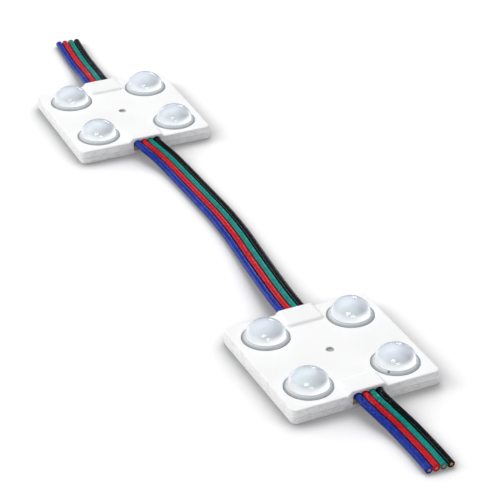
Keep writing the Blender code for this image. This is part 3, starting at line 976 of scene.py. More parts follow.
LINK_POINTS = np.array([
    (-105.5, 2.35, 2.75), (-101.0, 3.5, 1.95), (-95.5, 4.3, 1.2), (-88.0, 4.65, 0.88),
    (-78.0, 4.8, 0.88), (-68.0, 4.85, 0.88), (-58.0, 4.35, 0.88), (-48.0, 3.25, 1.1),
    (-38.0, 1.95, 1.75), (-30.0, 0.9, 2.4), (-24.0, 0.25, 2.8),
]) * MM
FRONT_POINTS = np.array([
    (21.0, 0.15, 2.8), (25.0, 0.9, 2.2), (30.0, 1.9, 1.35), (35.5, 2.35, 0.9), (40.5, 2.4, 0.88),
    (45.2, 2.3, 0.88),
]) * MM
REAR_POINTS = np.array([
    (-177.5, 6.45, 0.88), (-172.0, 5.8, 0.88), (-166.0, 5.2, 0.88), (-159.0, 4.65, 1.15),
    (-153.0, 3.95, 1.95), (-148.0, 3.15, 2.75),
]) * MM


def unit(vectors: Array) -> Array:
    """The same directions, each of length 1."""
    return vectors / np.linalg.norm(vectors, axis=-1, keepdims=True)


def spokes(ahead: Array, count: int) -> Array:
    """Directions round a course: its level left side times cosine, plus its upper side times sine.

    Args:
        ahead: The course's direction, or one at each of its points.
        count: How many spokes there are.

    Returns:
        Directions by point, where there are several, by spoke and by axis.
    """
    sideways = unit(np.cross(UP, ahead))
    upward = np.cross(ahead, sideways)
    angle = angles(count)[:, None]
    return np.cos(angle) * sideways[..., None, :] + np.sin(angle) * upward[..., None, :]


def travelled(curve: Array) -> Array:
    """How far along a curve each of its points is."""
    return np.concatenate([[0.0], np.cumsum(np.linalg.norm(np.diff(curve, axis=0), axis=1))])


def smooth_curve(route: Array, steps: int) -> Array:
    """A cubic curve through a route's points, with each slope taken from the points beside it.

    Args:
        route: The points that it passes through.
        steps: How many points it gives.

    Returns:
        Points on the curve.
    """
    stops = travelled(route)
    slopes = np.gradient(route, stops, axis=0)
    at = np.linspace(0.0, stops[-1], steps)
    left = np.clip(np.searchsorted(stops, at, side="right") - 1, 0, len(route) - 2)
    span = np.diff(stops)[left][:, None]
    t = (at - stops[left])[:, None] / span
    start = (2 * t**3 - 3 * t**2 + 1) * route[left] + (t**3 - 2 * t**2 + t) * span * slopes[left]
    end = (3 * t**2 - 2 * t**3) * route[left + 1] + (t**3 - t**2) * span * slopes[left + 1]
    return start + end


def evenly_spaced(curve: Array, step: float) -> Array:
    """Points on a curve at even distances along it.

    Args:
        curve: The curve's points.
        step: About how far apart they are.

    Returns:
        The points, with both ends among them.
    """
    stops = travelled(curve)
    at = np.linspace(0.0, stops[-1], max(2, round(stops[-1] / step) + 1))
    return np.stack([np.interp(at, stops, along) for along in curve.T], axis=1)


@dataclass(frozen=True)
class WireRun:
    """One stretch of the cable: the route of its middle, and its bare cut end, if it has one.

    The route's point exit_index is where the cable leaves its housing. The cut is the index of the
    end's point, and that of the one before it.
    """

    name: str
    route: Array = field(repr=False)
    exit_index: int
    cut: tuple[int, int] | None = None

    def path(self, offset: float, step: float) -> Array:
        """The middle of the wire that lies this far to the left, with points about a step apart."""
        curve = smooth_curve(self.route, CURVE_STEPS * len(self.route))
        return evenly_spaced(curve + offset * unit(np.cross(UP, np.gradient(curve, axis=0))), step)

    def exit_point(self, path: Array) -> Array:
        """Where a wire leaves its housing: its path's nearest point to the middle of the mouth."""
        return path[np.abs(path[:, 0] - self.route[self.exit_index, 0]).argmin()]


def cable_runs() -> list[WireRun]:
    """The three stretches, each from -X to +X, and straight inside the housings' mouths.

    Returns:
        The link, the front lead and the rear lead.
    """
    middle = np.array([(x, 0.0, WIRE_EXIT_Z) for x in (WIRE_START, HALF_SIDE)])
    behind = (middle * (-1, 1, 1))[::-1]
    link = np.concatenate([FAR.world(middle), LINK_POINTS, NEAR.world(behind)])
    front = np.concatenate([NEAR.world(middle), FRONT_POINTS])
    rear = np.concatenate([REAR_POINTS, FAR.world(behind)])
    return [
        WireRun("link", link, 1),
        WireRun("front_lead", front, 1, cut=(-1, -2)),
        WireRun("rear_lead", rear, len(REAR_POINTS), cut=(0, 1)),
    ]


@dataclass(frozen=True)
class Cable:
    """Four insulated wires side by side, bonded where they touch."""

    radius: float = 0.845 * MM
    web: float = 0.02 * MM
    web_angle: float = 0.3
    step: float = 0.8 * MM
    around: int = 40
    rim: float = 0.07 * MM
    rim_steps: int = 5
    strand_radius: float = 0.13 * MM
    strand_length: float = 0.9 * MM
    strand_ring: float = 0.268 * MM
    strand_proud: float = 0.05 * MM
    strand_around: int = 12
    strand_tip: Span = (0.75, 0.6)
    groove_start: float = 0.72
    groove_curve: float = 0.7

    def groove(self, index: int) -> Array:
        """How much painted shade each place round a wire gets: how much it faces a neighbour.

        Args:
            index: The wire's number across the cable, from -Y.

        Returns:
            For each place, 0 on the open skin, and 1 where the wire touches its neighbour.
        """
        sideways = np.cos(angles(self.around))
        towards = np.maximum(sideways * (index < len(WireColour) - 1), -sideways * (index > 0))
        depth = (towards - self.groove_start) / (1 - self.groove_start)
        return np.clip(depth, 0.0, 1.0) ** self.groove_curve

    def tube(self, path: Array, index: int) -> Body:
        """A wire's skin: a round section carried along the path, swelling to its neighbours.

        A point is the path's point, plus a spoke times the radius. The radius swells by the web
        near 0 and 180 degrees. Each end has a small rounded rim and a flat face.

        Args:
            path: The wire's middle.
            index: The wire's number across the cable.

        Returns:
            The closed skin.
        """
        ahead = unit(np.gradient(path, axis=0))
        spoke = spokes(ahead, self.around)
        half_turn = angles(self.around) / 2
        off_side = 2 * np.minimum(np.abs(np.sin(half_turn)), np.abs(np.cos(half_turn)))
        radius = self.radius + self.web * np.exp(-((off_side / self.web_angle) ** 2))[:, None]
        wall = path[:, None] + spoke * radius
        turn = np.linspace(0.0, QUARTER, self.rim_steps)[:, None, None]
        inset = self.rim * (1 - np.cos(turn))
        body = Body()
        for end, way in ((0, self.rim), (-1, -self.rim)):
            lip = path[end] + way * ahead[end] * (1 - np.sin(turn)) + spoke[end] * (radius - inset)
            face = path[end] + (lip[-1] - path[end]) * np.array([1.0, 0.5, 0.0])[:, None, None]
            body.grid(lip, closed=True)
            body.grid(face, closed=True)
            wall[end] = lip[0]
        # The grooves between the wires get painted shade through this mark.
        body.grid(wall, closed=True, mark=self.groove(index))
        return body

    def strands(self, end: Array, ahead: Array) -> Body:
        """The copper strands at a cut end: one in the middle and six round it, each a small rod.

        A point is the rod's middle, plus a spoke times its profile's share of the strand's radius,
        plus the direction out of the wire times its profile's distance.

        Args:
            end: The middle of the wire's end face.
            ahead: The direction out of the wire.

        Returns:
            The strands, flush with the end face but for a hair.
        """
        back, proud = -self.strand_length, self.strand_proud
        narrow, low = self.strand_tip
        profile = [(0.0, back), (1.0, back), (1.0, low * proud), (narrow, proud), (0.0, proud)]
        share, out = np.array(profile).T[..., None, None]
        rod = share * self.strand_radius * spokes(ahead, self.strand_around) + out * ahead
        body = Body()
        for middle in np.concatenate([np.zeros((1, 3)), self.strand_ring * spokes(ahead, 6)]):
            body.grid(end + middle + rod, closed=True)
        return body

    def wire(
        self, run: WireRun, index: int, colour: WireColour, book: FinishBook
    ) -> list[bpy.types.Object]:
        """One wire of a stretch and the strands at its cut end.

        Args:
            run: The stretch.
            index: The wire's number across the cable.
            colour: The wire's colour.
            book: Where the materials come from.

        Returns:
            The wire, and the strands if it has any.
        """
        path = run.path((index - 1.5) * WIRE_PITCH, self.step)
        name = f"{run.name}_{colour.value}"
        slot = f"{colour.value}_insulation"
        skin = Insulation(slot, *WIRE_TONES[colour])
        wire = self.tube(path, index).object(f"{name}_wire_skin", [skin], book)
        tied(wire, f"{run.name}_wire_{colour.value}")
        extras = []
        if run.cut:
            end, before = path[list(run.cut)]
            rods = self.strands(end, unit(end - before))
            extras.append(tied(rods.object(f"{name}_strands", [CUT_COPPER], book)))
        tuple(run.exit_point(path))
        return [wire, *extras]

    def build(self, book: FinishBook) -> list[bpy.types.Object]:
        """Every wire of every stretch.

        Args:
            book: Where the materials come from.

        Returns:
            The pieces.
        """
        pieces = []
        for run in cable_runs():
            for index, colour in enumerate(WireColour):
                pieces += self.wire(run, index, colour, book)
        return pieces


# The lens and the light source under it

LENS_OFFSET = 10.6 * MM
LENS_CORNERS = ((1, -1), (-1, -1), (-1, 1), (1, 1))
LENS_MIDDLES = LENS_OFFSET * np.array(LENS_CORNERS)
PLATE = 3.6 * MM


@dataclass(frozen=True)
class Seat:
    """One of the four lens places of a module, numbered from 1."""

    placement: Placement
    index: int

    @property
    def middle(self) -> Array:
        """Its x and y in the module."""
        return LENS_MIDDLES[self.index - 1]

    def name(self, kind: str) -> str:
        """The name of the piece of this kind that sits here."""
        return f"{self.placement.name}_{kind}_{self.index}"


@dataclass(frozen=True)
class DomeLens:
    """A clear domed lens with a flared skirt, a hidden flange and a hollow underside."""

    dome_radius: float = 4.65 * MM
    dome_height: float = 3.6 * MM
    dome_base: float = 4.2 * MM
    dome_end: float = 6.0
    skirt_radius: float = 5.46 * MM
    skirt_edge: float = 0.08 * MM
    skirt_gap: float = 0.12 * MM
    flange_radius: float = 6.15 * MM
    flange_top: float = 2.6 * MM
    flange_bottom: float = 2.1 * MM
    mouth_radius: float = 4.3 * MM
    cavity_radius: float = 3.8 * MM
    cavity_top: float = 7.05 * MM
    dome_steps: int = 30
    skirt_steps: int = 12
    edge_steps: int = 5
    cavity_steps: int = 24
    segments: int = 128
    flecked: Seat = Seat(NEAR, 4)
    fleck_offset: Triple = (3.36 * MM, -3.5 * MM, 3.96 * MM)

    def outside(self) -> Array:
        """The profile from the top of the dome out to the flange and in under it.

        The dome is a quarter ellipse. Its skirt flares in a hollow quarter ellipse to a thin
        rounded edge.

        Returns:
            Rows of radius and height.
        """
        edge_z, edge_x = PLATE + self.skirt_gap, self.skirt_radius - self.skirt_edge
        radii = (self.dome_radius, self.dome_height)
        dome = arc((0.0, self.dome_base), radii, 90.0, self.dome_end, self.dome_steps)
        foot_x, foot_z = dome[-1]
        radii = (foot_x - edge_x, edge_z - foot_z)
        skirt = arc((edge_x, foot_z), radii, 0.0, 90.0, self.skirt_steps)[1:]
        radii = (self.skirt_edge, self.skirt_edge)
        lip = arc((edge_x, edge_z - self.skirt_edge), radii, 80.0, 0.0, self.edge_steps)
        under = [
            (self.skirt_radius, self.flange_top), (self.flange_radius, self.flange_top),
            (self.flange_radius, self.flange_bottom), (self.mouth_radius, self.flange_bottom),
        ]
        return np.concatenate([dome, skirt, lip, under])

    def build(self, seat: Seat, book: FinishBook) -> bpy.types.Object:
        """One lens. Its hollow is an upright wall with a quarter ellipse over it.

        Args:
            seat: Where it sits.
            book: Where the materials come from.

        Returns:
            The piece.
        """
        outside = self.outside()
        radii = (self.cavity_radius, self.cavity_top - PLATE)
        vault = arc((0.0, PLATE), radii, 0.0, 90.0, self.cavity_steps)
        inside = np.concatenate([outside[-1:], vault])
        body = Body(seat.placement)
        for slot, profile in enumerate((outside, inside)):
            body.grid(turned(profile, self.segments, *seat.middle), closed=True, slot=slot)
        skin = LensSkin()
        if seat == self.flecked:
            fleck = np.add(self.fleck_offset, (*seat.middle, 0.0))
            skin = LensSkin("flecked_acrylic", fleck=tuple(fleck.tolist()))
        lens = body.object(seat.name("dome_lens"), [skin, LensHollow()], book, sharp=50.0)
        return tied(lens, seat.name("lens"))


@dataclass(frozen=True)
class LightPackage:
    """The square light source under a lens: a body, a cup of resin and three leads a side."""

    half: float = 2.5 * MM
    corner: float = 0.25 * MM
    bottom: float = 2.1 * MM
    top: float = 3.5 * MM
    edge: float = 0.1 * MM
    cup: float = 2.1 * MM
    resin: float = 1.9 * MM
    resin_drop: float = 0.08 * MM
    lead_pitch: float = 1.6 * MM
    lead_half: float = 0.45 * MM
    lead_bottom: float = 2.12 * MM
    lead_top: float = 2.35 * MM
    lead_hidden: float = 0.2 * MM
    lead_reach: float = 0.25 * MM
    corner_steps: int = 12

    def rows(self, profile: Sequence[Triple], middle: Array) -> Array:
        """Loops from a square to a circle: a core square's corner plus a direction times a radius.

        Args:
            profile: Rows of the core square's half side, the radius and the height.
            middle: The middle's x and y.

        Returns:
            Points by row, column and axis.
        """
        core, radius, height = np.array(profile).T[..., None, None]
        turn = np.linspace(0.0, QUARTER, self.corner_steps)
        angle = (np.arange(4)[:, None] * QUARTER + turn).reshape(-1)
        side = np.repeat(np.array([(1, 1), (-1, 1), (-1, -1), (1, -1)]), self.corner_steps, axis=0)
        flat = core * side + radius * np.stack([np.cos(angle), np.sin(angle)], axis=-1) + middle
        return np.concatenate([flat, np.broadcast_to(height, (*flat.shape[:2], 1))], axis=-1)

    def build(self, seat: Seat, book: FinishBook) -> bpy.types.Object:
        """One light source. A lead is a block: two level loops, each closed by its middle.

        Args:
            seat: Where it sits.
            book: Where the materials come from.

        Returns:
            The piece.
        """
        body = Body(seat.placement)
        core, edge, sunk = self.half - self.corner, self.edge, self.top - self.resin_drop
        shell = [
            (0.0, 0.0, self.bottom), (core, self.corner, self.bottom),
            (core, self.corner, self.top - edge), (core, self.corner - edge, self.top),
            (0.0, self.cup, self.top), (0.0, self.resin, sunk),
        ]
        resin = [(0.0, share * self.resin, sunk) for share in (1.0, 0.5, 0.0)]
        for slot, profile in enumerate((shell, resin)):
            body.grid(self.rows(profile, seat.middle), closed=True, slot=slot)
        inner, outer = self.half - self.lead_hidden, self.half + self.lead_reach
        for sign in (1, -1):
            for row in (-1, 0, 1):
                along = sign * np.array([inner, outer, outer, inner])
                across = row * self.lead_pitch + self.lead_half * np.array([-1, -1, 1, 1])
                base = np.column_stack([along, across]) + seat.middle
                middle = np.broadcast_to(base.mean(axis=0), (4, 2))
                low, high = self.lead_bottom, self.lead_top
                levels = ((middle, low), (base, low), (base, high), (middle, high))
                body.grid(np.stack([lifted(*level) for level in levels]), closed=True, slot=2)
        finishes = [PACKAGE_WHITE, PACKAGE_RESIN, LEAD_METAL]
        package = body.object(seat.name("light_package"), finishes, book)
        return tied(package, seat.name("led"))


# The housing


def smallest(softness: float, *heights: Array) -> Array:
    """The smallest of several heights, with each ridge between two of them rounded.

    Where two differ by less than the softness, a parabola joins them: the smaller, less a quarter
    of the softness times the square of how near they are as a share of it.

    Args:
        softness: How wide the rounding is.
        heights: Arrays of one shape.

    Returns:
        The joined heights.
    """
    joined = heights[0]
    for other in heights[1:]:
        near = np.clip(1 - np.abs(joined - other) / softness, 0.0, None)
        joined = np.minimum(joined, other) - near**2 * softness / 4
    return joined


@dataclass
class Outline:
    """The rounded square that both halves of a housing share, with fine steps at the cable mouths.

    A point of it is a point of the core square plus its outward direction times the corner's radius
    less an inset, so that every inset gives a loop with the same columns.
    """

    half: float = HALF_SIDE
    corner: float = 1.45 * MM
    mouth_half: float = 3.69 * MM
    fine_half: float = 5.29 * MM
    coarse: float = 1.0 * MM
    fine: float = 0.11 * MM
    gap: float = 0.2 * MM
    corner_steps: int = 12
    core: Array = field(init=False, repr=False)
    outward: Array = field(init=False, repr=False)
    in_mouth: Array = field(init=False, repr=False)

    def __post_init__(self) -> None:
        """Work the columns out once, side by side, each side with the corner that follows it."""
        reach = self.half - self.corner
        mouth = self.across(self.mouth_half, self.fine)
        flank = np.arange(self.mouth_half + self.fine, self.fine_half, self.fine)
        plain_side = self.across(reach, self.coarse)
        rest = plain_side[plain_side > self.fine_half + self.gap]
        cable_side = np.concatenate([-rest[::-1], -flank[::-1], mouth, flank, rest])
        turn = np.linspace(0.0, QUARTER, self.corner_steps + 1)[1:-1]
        bend = np.stack([0 * turn + reach, 0 * turn + reach, np.cos(turn), np.sin(turn)], axis=1)
        sides = []
        for quarter, along in enumerate((cable_side, plain_side) * 2):
            straight = np.stack([0 * along + reach, along, 0 * along + 1, 0 * along], axis=1)
            cos, sin = ((1, 0), (0, 1), (-1, 0), (0, -1))[quarter]
            turning = np.kron(np.eye(2), np.array([(cos, sin), (-sin, cos)]))
            sides.append(np.concatenate([straight, bend]) @ turning)
        columns = np.concatenate(sides)
        self.core, self.outward = columns[:, :2], columns[:, 2:]
        on_cable_side = np.abs(self.outward[:, 0]) > 1 - TINY
        self.in_mouth = (np.abs(self.core[:, 1]) <= self.mouth_half + TINY) & on_cable_side

    @staticmethod
    def across(reach: float, step: float) -> Array:
        """Evenly spaced places from minus to plus this reach, about a step apart."""
        return np.linspace(-reach, reach, 2 * round(reach / step) + 1)

    def loop(self, inset: float, height: Array | float) -> Array:
        """The outline this far in, at one height, or with one for each column."""
        return lifted(self.core + self.outward * (self.corner - inset), height)

    def flat(self, inset: float) -> Array:
        """The outline this far in, as flat points."""
        return self.loop(inset, 0.0)[:, :2]

    def notched(self, inset: float, notch_x: float) -> Array:
        """The flat loop at an inset, with its mouth columns moved to another distance.

        Args:
            inset: How far in the loop runs.
            notch_x: How far from the middle the notches end.

        Returns:
            Flat points, with both corners of each notch's sides.
        """
        flat = self.flat(inset)
        moved = flat.copy()
        moved[self.in_mouth, 0] = np.sign(flat[self.in_mouth, 0]) * notch_x
        first = np.flatnonzero(self.in_mouth & ~np.roll(self.in_mouth, 1))
        last = np.flatnonzero(self.in_mouth & ~np.roll(self.in_mouth, -1))
        return np.insert(moved, [*first, *(last + 1)], flat[[*first, *last]], axis=0)

    def wall(self, body: Body, profile: Sequence[Span], cut: Sequence[Span] = ()) -> None:
        """A profile carried round the outline, cut by both mouths, with the four faces of the cuts.

        Args:
            body: What takes it in.
            profile: Rows of inset and height.
            cut: More such rows, which close the profile in a cut's face.
        """
        rows = np.stack([self.loop(inset, height) for inset, height in profile])
        open_strips = self.in_mouth & np.roll(self.in_mouth, -1)
        body.grid(rows, closed=True, keep=~open_strips)
        inset, height = np.array([*profile, *cut]).T
        for sx in (1, -1):
            for sy in (1, -1):
                flat = np.column_stack([sx * (self.half - inset), sy * self.mouth_half + 0 * inset])
                body.add(lifted(flat, height), np.arange(len(flat))[None])


def encloses(loop: Array, points: Array) -> Array:
    """Which points lie inside a loop: their rays along +X cross it an odd number of times.

    Args:
        loop: Flat points of the loop.
        points: Flat points.

    Returns:
        One truth value a point.
    """
    start, end = loop, np.roll(loop, -1, axis=0)
    rise = end[:, 1] - start[:, 1]
    share = (points[:, 1:] - start[:, 1]) / np.where(rise == 0, 1.0, rise)
    crossing = start[:, 0] + share * (end[:, 0] - start[:, 0])
    passed = (start[:, 1] > points[:, 1:]) != (end[:, 1] > points[:, 1:])
    return (passed & (crossing > points[:, :1])).sum(axis=1) % 2 == 1


def sheet_with_holes(
    rim: Array, holes: Sequence[Array], extra: Array = np.empty((0, 2))
) -> tuple[Array, Array]:
    """Triangles that fill a loop around its holes.

    Args:
        rim: Flat points of the outer loop.
        holes: Flat points of each hole's loop.
        extra: Flat points inside, for a finer mesh.

    Returns:
        All flat points, and rows of three indices.
    """
    loops = [rim, *holes]
    points = np.concatenate([*loops, extra])
    starts = np.cumsum([0, *(len(loop) for loop in loops)])
    runs = [(start + np.arange(len(loop))) for start, loop in zip(starts, loops)]
    edges = np.concatenate([np.stack([run, np.roll(run, -1)], axis=1) for run in runs])
    flat = [Vector(pair) for pair in (points / MM).tolist()]
    _, _, faces, origins, _, _ = delaunay_2d_cdt(flat, edges.tolist(), [], 1, 1e-5, True)
    corners = np.array([ids[0] for ids in origins])[np.array(faces)]
    middles = points[corners].mean(axis=1)
    kept = encloses(rim, middles)
    for hole in holes:
        kept &= ~encloses(hole, middles)
    return points, corners[kept]


def clear_of(points: Array, loops: Sequence[Array], gap: float) -> Array:
    """The points that are farther than a gap from every loop's own points.

    Args:
        points: Flat points.
        loops: Flat points of each loop.
        gap: The smallest distance.

    Returns:
        The points that stay.
    """
    for loop in loops:
        apart = np.linalg.norm(points[:, None] - loop[None], axis=2).min(axis=1)
        points = points[apart > gap]
    return points


@dataclass(frozen=True)
class CableHump:
    """The raised end of the cover over each mouth: a ramp, leaning flanks and clipped corners."""

    face_x: float = HALF_SIDE
    inner_x: float = 11.6 * MM
    half: float = 4.89 * MM
    rise: float = 0.95 * MM
    step: float = 0.5 * MM
    run: float = 0.5 * MM
    flank: float = 0.9 * MM
    clip: float = 0.8 * MM
    clip_slope: float = 0.8
    ridge: float = 0.3 * MM
    foot: float = 0.16 * MM

    def height(self, x: Array, y: Array) -> Array:
        """How far the top stands over the plate: the least of ramp, inner slope, flank and clip.

        Args:
            x: Places along the cable.
            y: Places across it.

        Returns:
            The height, which is 0 on the plate.
        """
        inward, aside = np.abs(x) - self.inner_x, self.half - np.abs(y)
        ramp_length = self.face_x - self.inner_x - self.run
        ramp = self.step + (self.rise - self.step) * (inward - self.run) / ramp_length
        slope = inward * self.step / self.run
        flank = aside * self.rise / self.flank
        clip = (inward + aside - self.clip) * self.clip_slope
        top = smallest(self.ridge, ramp, slope, flank, clip)
        return -smallest(self.foot, -top, np.zeros_like(top))


@dataclass(frozen=True)
class CableMouth:
    """The opening under a hump, which closes in around the top of each wire."""

    half: float = 3.69 * MM
    outer_wire: float = 1.5 * WIRE_PITCH
    spring: float = 3.1 * MM
    scallop: float = 0.95 * MM
    valley: float = 3.38 * MM
    valley_rounding: float = 0.12 * MM
    rounding: float = 0.16 * MM
    fade: float = 0.8 * MM
    end_x: float = 14.7 * MM
    rounding_steps: int = 5

    def past_outer_wire(self, y: Array) -> Array:
        """How far each place is from the outer wire's middle, at 0, to the mouth's side, at 1."""
        return np.clip((np.abs(y) - self.outer_wire) / (self.half - self.outer_wire), 0.0, 1.0)

    def arch(self, y: Array) -> Array:
        """The height of the opening's edge: circles about the wires, and an ellipse at each side.

        Args:
            y: Places across the mouth.

        Returns:
            The heights.
        """
        middles = (np.arange(4) - 1.5) * WIRE_PITCH
        off = np.abs(y[:, None] - middles).min(axis=1)
        circle = WIRE_EXIT_Z + np.sqrt(np.clip(self.scallop**2 - off**2, 0.0, None))
        crest = WIRE_EXIT_Z + self.scallop - self.spring
        side = self.spring + crest * np.sqrt(1 - self.past_outer_wire(y) ** 2)
        joined = -smallest(self.valley_rounding, -circle, np.full_like(circle, -self.valley))
        return np.where(np.abs(y) > self.outer_wire, side, joined)

    def edge(self, y: Array) -> Array:
        """How the opening's edge is rounded: rows of points from the outer face into the tunnel.

        A point is the edge's point, moved upwards, and outwards at the elliptic sides, by the
        rounding times one less the sine, and inwards from the face by the rounding times one less
        the cosine. The rounding dies out towards both feet.

        Args:
            y: Places across the mouth.

        Returns:
            Points by row and place, as depth behind the face, place across and height.
        """
        share = self.past_outer_wire(y)
        size = self.rounding * np.clip((self.half - np.abs(y)) / self.fade, 0.0, 1.0)
        turn = np.linspace(0.0, QUARTER, self.rounding_steps)[:, None]
        away = size * (1 - np.sin(turn))
        across = y + np.sign(y) * share * away
        height = self.arch(y) + np.sqrt(1 - share**2) * away
        return np.stack([size * (1 - np.cos(turn)), across, height], axis=-1)


@dataclass(frozen=True)
class TopCover:
    """The upper half of a housing: a shell with four lens holes, two cable humps and a dimple."""

    outline: Outline
    hump: CableHump = CableHump()
    mouth: CableMouth = CableMouth()
    ceiling: float = 2.7 * MM
    rim: float = 1.725 * MM
    rim_break: float = 0.06 * MM
    rebate: float = 0.5 * MM
    rebate_top: float = 2.4 * MM
    wall: float = 1.1 * MM
    rounding: float = 0.42 * MM
    hole_radius: float = 5.56 * MM
    lip: float = 0.1 * MM
    dimple_radius: float = 0.95 * MM
    dimple_depth: float = 0.5 * MM
    dimple_bevel: float = 0.05 * MM
    dimple_taper: Span = (0.9, 0.8)
    hole_steps: int = 128
    dimple_steps: int = 64
    rounding_steps: int = 9
    lip_steps: int = 5
    coarse: float = 1.4 * MM
    fine: Span = (0.22 * MM, 0.17 * MM)
    edge_margin: float = 0.2 * MM
    fine_margin: float = 0.3 * MM
    coarse_margin: float = 0.8 * MM
    hole_margin: float = 0.4 * MM
    band: float = 0.14 * MM
    spacing: float = 0.1 * MM

    def height(self, flat: Array) -> Array:
        """The top's height at flat points."""
        return PLATE + self.hump.height(flat[:, 0], flat[:, 1])

    def rings(self, out: float) -> list[Array]:
        """The edges of the four lens holes and of the dimple, this much wider."""
        holes = [ring(x, y, self.hole_radius + out, self.hole_steps) for x, y in LENS_MIDDLES]
        return [*holes, ring(0.0, 0.0, self.dimple_radius + out, self.dimple_steps)]

    def top(self, body: Body) -> None:
        """The upper face: a sheet around its holes, over plate and humps, and its rounded edge.

        The edge is a quarter circle carried round the outline.

        Args:
            body: The cover so far.
        """
        inner = self.outline.flat(self.rounding)
        holes = self.rings(self.lip)
        near = [*self.rings(self.lip + self.band), self.outline.flat(self.rounding + self.band)]
        finer = clear_of(np.concatenate([*near, self.inner_grid()]), [*holes, inner], self.spacing)
        flat, faces = sheet_with_holes(inner, holes, finer)
        body.add(lifted(flat, self.height(flat)), faces)
        crest = self.height(inner)
        bend = rounded(self.rounding, self.rounding_steps)
        edge = [self.outline.loop(inset, crest + drop) for inset, drop in bend]
        body.grid(np.stack([*edge, self.mouth_line(edge[-1])]), closed=True)

    def inner_grid(self) -> Array:
        """Flat points over the plate: close together on the humps, and far apart elsewhere.

        Returns:
            The points, none of them near a hole.
        """
        reach = self.outline.half - self.rounding - self.edge_margin
        wide = Outline.across(reach, self.coarse)
        coarse = np.stack(np.meshgrid(wide, wide), axis=-1).reshape(-1, 2)
        along = np.arange(self.hump.inner_x - self.fine_margin, reach, self.fine[0])
        across = Outline.across(self.hump.half + self.fine_margin, self.fine[1])
        fine = np.stack(np.meshgrid(along, across), axis=-1).reshape(-1, 2)
        inner_x, half = self.hump.inner_x - self.coarse_margin, self.hump.half + self.coarse_margin
        over = (np.abs(coarse[:, 0]) > inner_x) & (np.abs(coarse[:, 1]) < half)
        points = np.concatenate([coarse[~over], fine, fine * (-1, 1)])
        hole, dimple = self.hole_radius + self.hole_margin, self.dimple_radius + self.hole_margin
        for middle in LENS_MIDDLES:
            points = points[np.linalg.norm(points - middle, axis=1) > hole]
        return points[np.linalg.norm(points, axis=1) > dimple]

    def mouth_line(self, wall_top: Array) -> Array:
        """Where the outer wall stops: on the springing line, or on the rounded edge of a mouth.

        Args:
            wall_top: The outline's outer loop.

        Returns:
            The same loop at the height where it stops.
        """
        line = wall_top.copy()
        line[:, 2] = self.mouth.spring
        for sign in (1, -1):
            chosen = self.outline.in_mouth & (wall_top[:, 0] * sign > 0)
            line[chosen, 1:] = self.mouth.edge(line[chosen, 1] * sign)[0, :, 1:] * (sign, 1)
        return line

    def shell(self, body: Body) -> None:
        """The wall below the mouths' springing line, its stepped rim, and the hollow's wall.

        The profile runs down the outer face, over the rim, up the rebate that takes the tray's
        tongue, and up the inner face to the ceiling.

        Args:
            body: The cover so far.
        """
        edge, deep = self.rim_break, self.outline.half - self.mouth.end_x
        profile = [
            (0.0, self.mouth.spring), (0.0, self.rim + edge), (edge, self.rim),
            (self.rebate, self.rim), (self.rebate, self.rebate_top), (self.wall, self.rebate_top),
            (self.wall, self.ceiling),
        ]
        self.outline.wall(body, profile, [(deep, self.ceiling), (deep, self.mouth.spring)])

    def tunnels(self, body: Body) -> None:
        """The space over the wires behind each mouth: the arch carried inwards, and an end wall.

        Args:
            body: The cover so far.
        """
        y = self.outline.core[self.outline.in_mouth & (self.outline.core[:, 0] > 0), 1]
        deep = 0 * y + self.outline.half - self.mouth.end_x
        end = np.column_stack([deep, y, self.mouth.arch(y)])
        foot = np.column_stack([deep, y, 0 * y + self.ceiling])
        roof = np.concatenate([self.mouth.edge(y), end[None]])
        for sign in (1, -1):
            # The tunnel's roof gets half and its end wall full painted shade.
            for rows, mark in ((roof, 0.5), (np.stack([end, foot]), 1.0)):
                from_middle = rows * (-1, 1, 1) + (self.outline.half, 0, 0)
                body.grid(from_middle * (sign, sign, 1), mark=mark)

    def underside(self, body: Body) -> None:
        """The flat ceiling inside, open to the tunnels, and the walls of the holes and the dimple.

        A hole's wall is a profile turned about the hole's axis: a rounded lip, then straight down.

        Args:
            body: The cover so far.
        """
        holes = self.rings(0.0)[:-1]
        flat, faces = sheet_with_holes(self.outline.notched(self.wall, self.mouth.end_x), holes)
        body.add(lifted(flat, self.ceiling), faces)
        lip = rounded(self.lip, self.lip_steps)
        for rings in zip(*(self.rings(out)[:-1] for out in lip[:, 0])):
            crest = self.height(rings[0])
            wall = [lifted(edge, crest + drop) for edge, drop in zip(rings, lip[:, 1])]
            body.grid(np.stack([*wall, lifted(rings[-1], self.ceiling)]), closed=True)
        depth, radius = PLATE - self.dimple_depth, self.dimple_radius
        foot_share, floor_share = self.dimple_taper
        rim, foot = lip + (radius, PLATE), (foot_share * radius, depth + self.dimple_bevel)
        floor = [foot, (floor_share * radius, depth), (0.0, depth)]
        # The dimple's foot and floor get painted shade, dark as in a deep hole.
        for profile, mark in ((rim, 0.0), ([rim[-1], foot], 0.8), (floor, 1.0)):
            body.grid(turned(np.array(profile), self.dimple_steps), closed=True, mark=mark)

    def build(self, placement: Placement, book: FinishBook) -> bpy.types.Object:
        """One cover.

        Args:
            placement: The module.
            book: Where the materials come from.

        Returns:
            The piece.
        """
        body = Body(placement)
        for part in (self.top, self.shell, self.tunnels, self.underside):
            part(body)
        cover = body.object(f"{placement.name}_moulded_cover", [COVER_WHITE], book, sharp=35.0)
        return tied(cover, f"{placement.name}_top_cover")


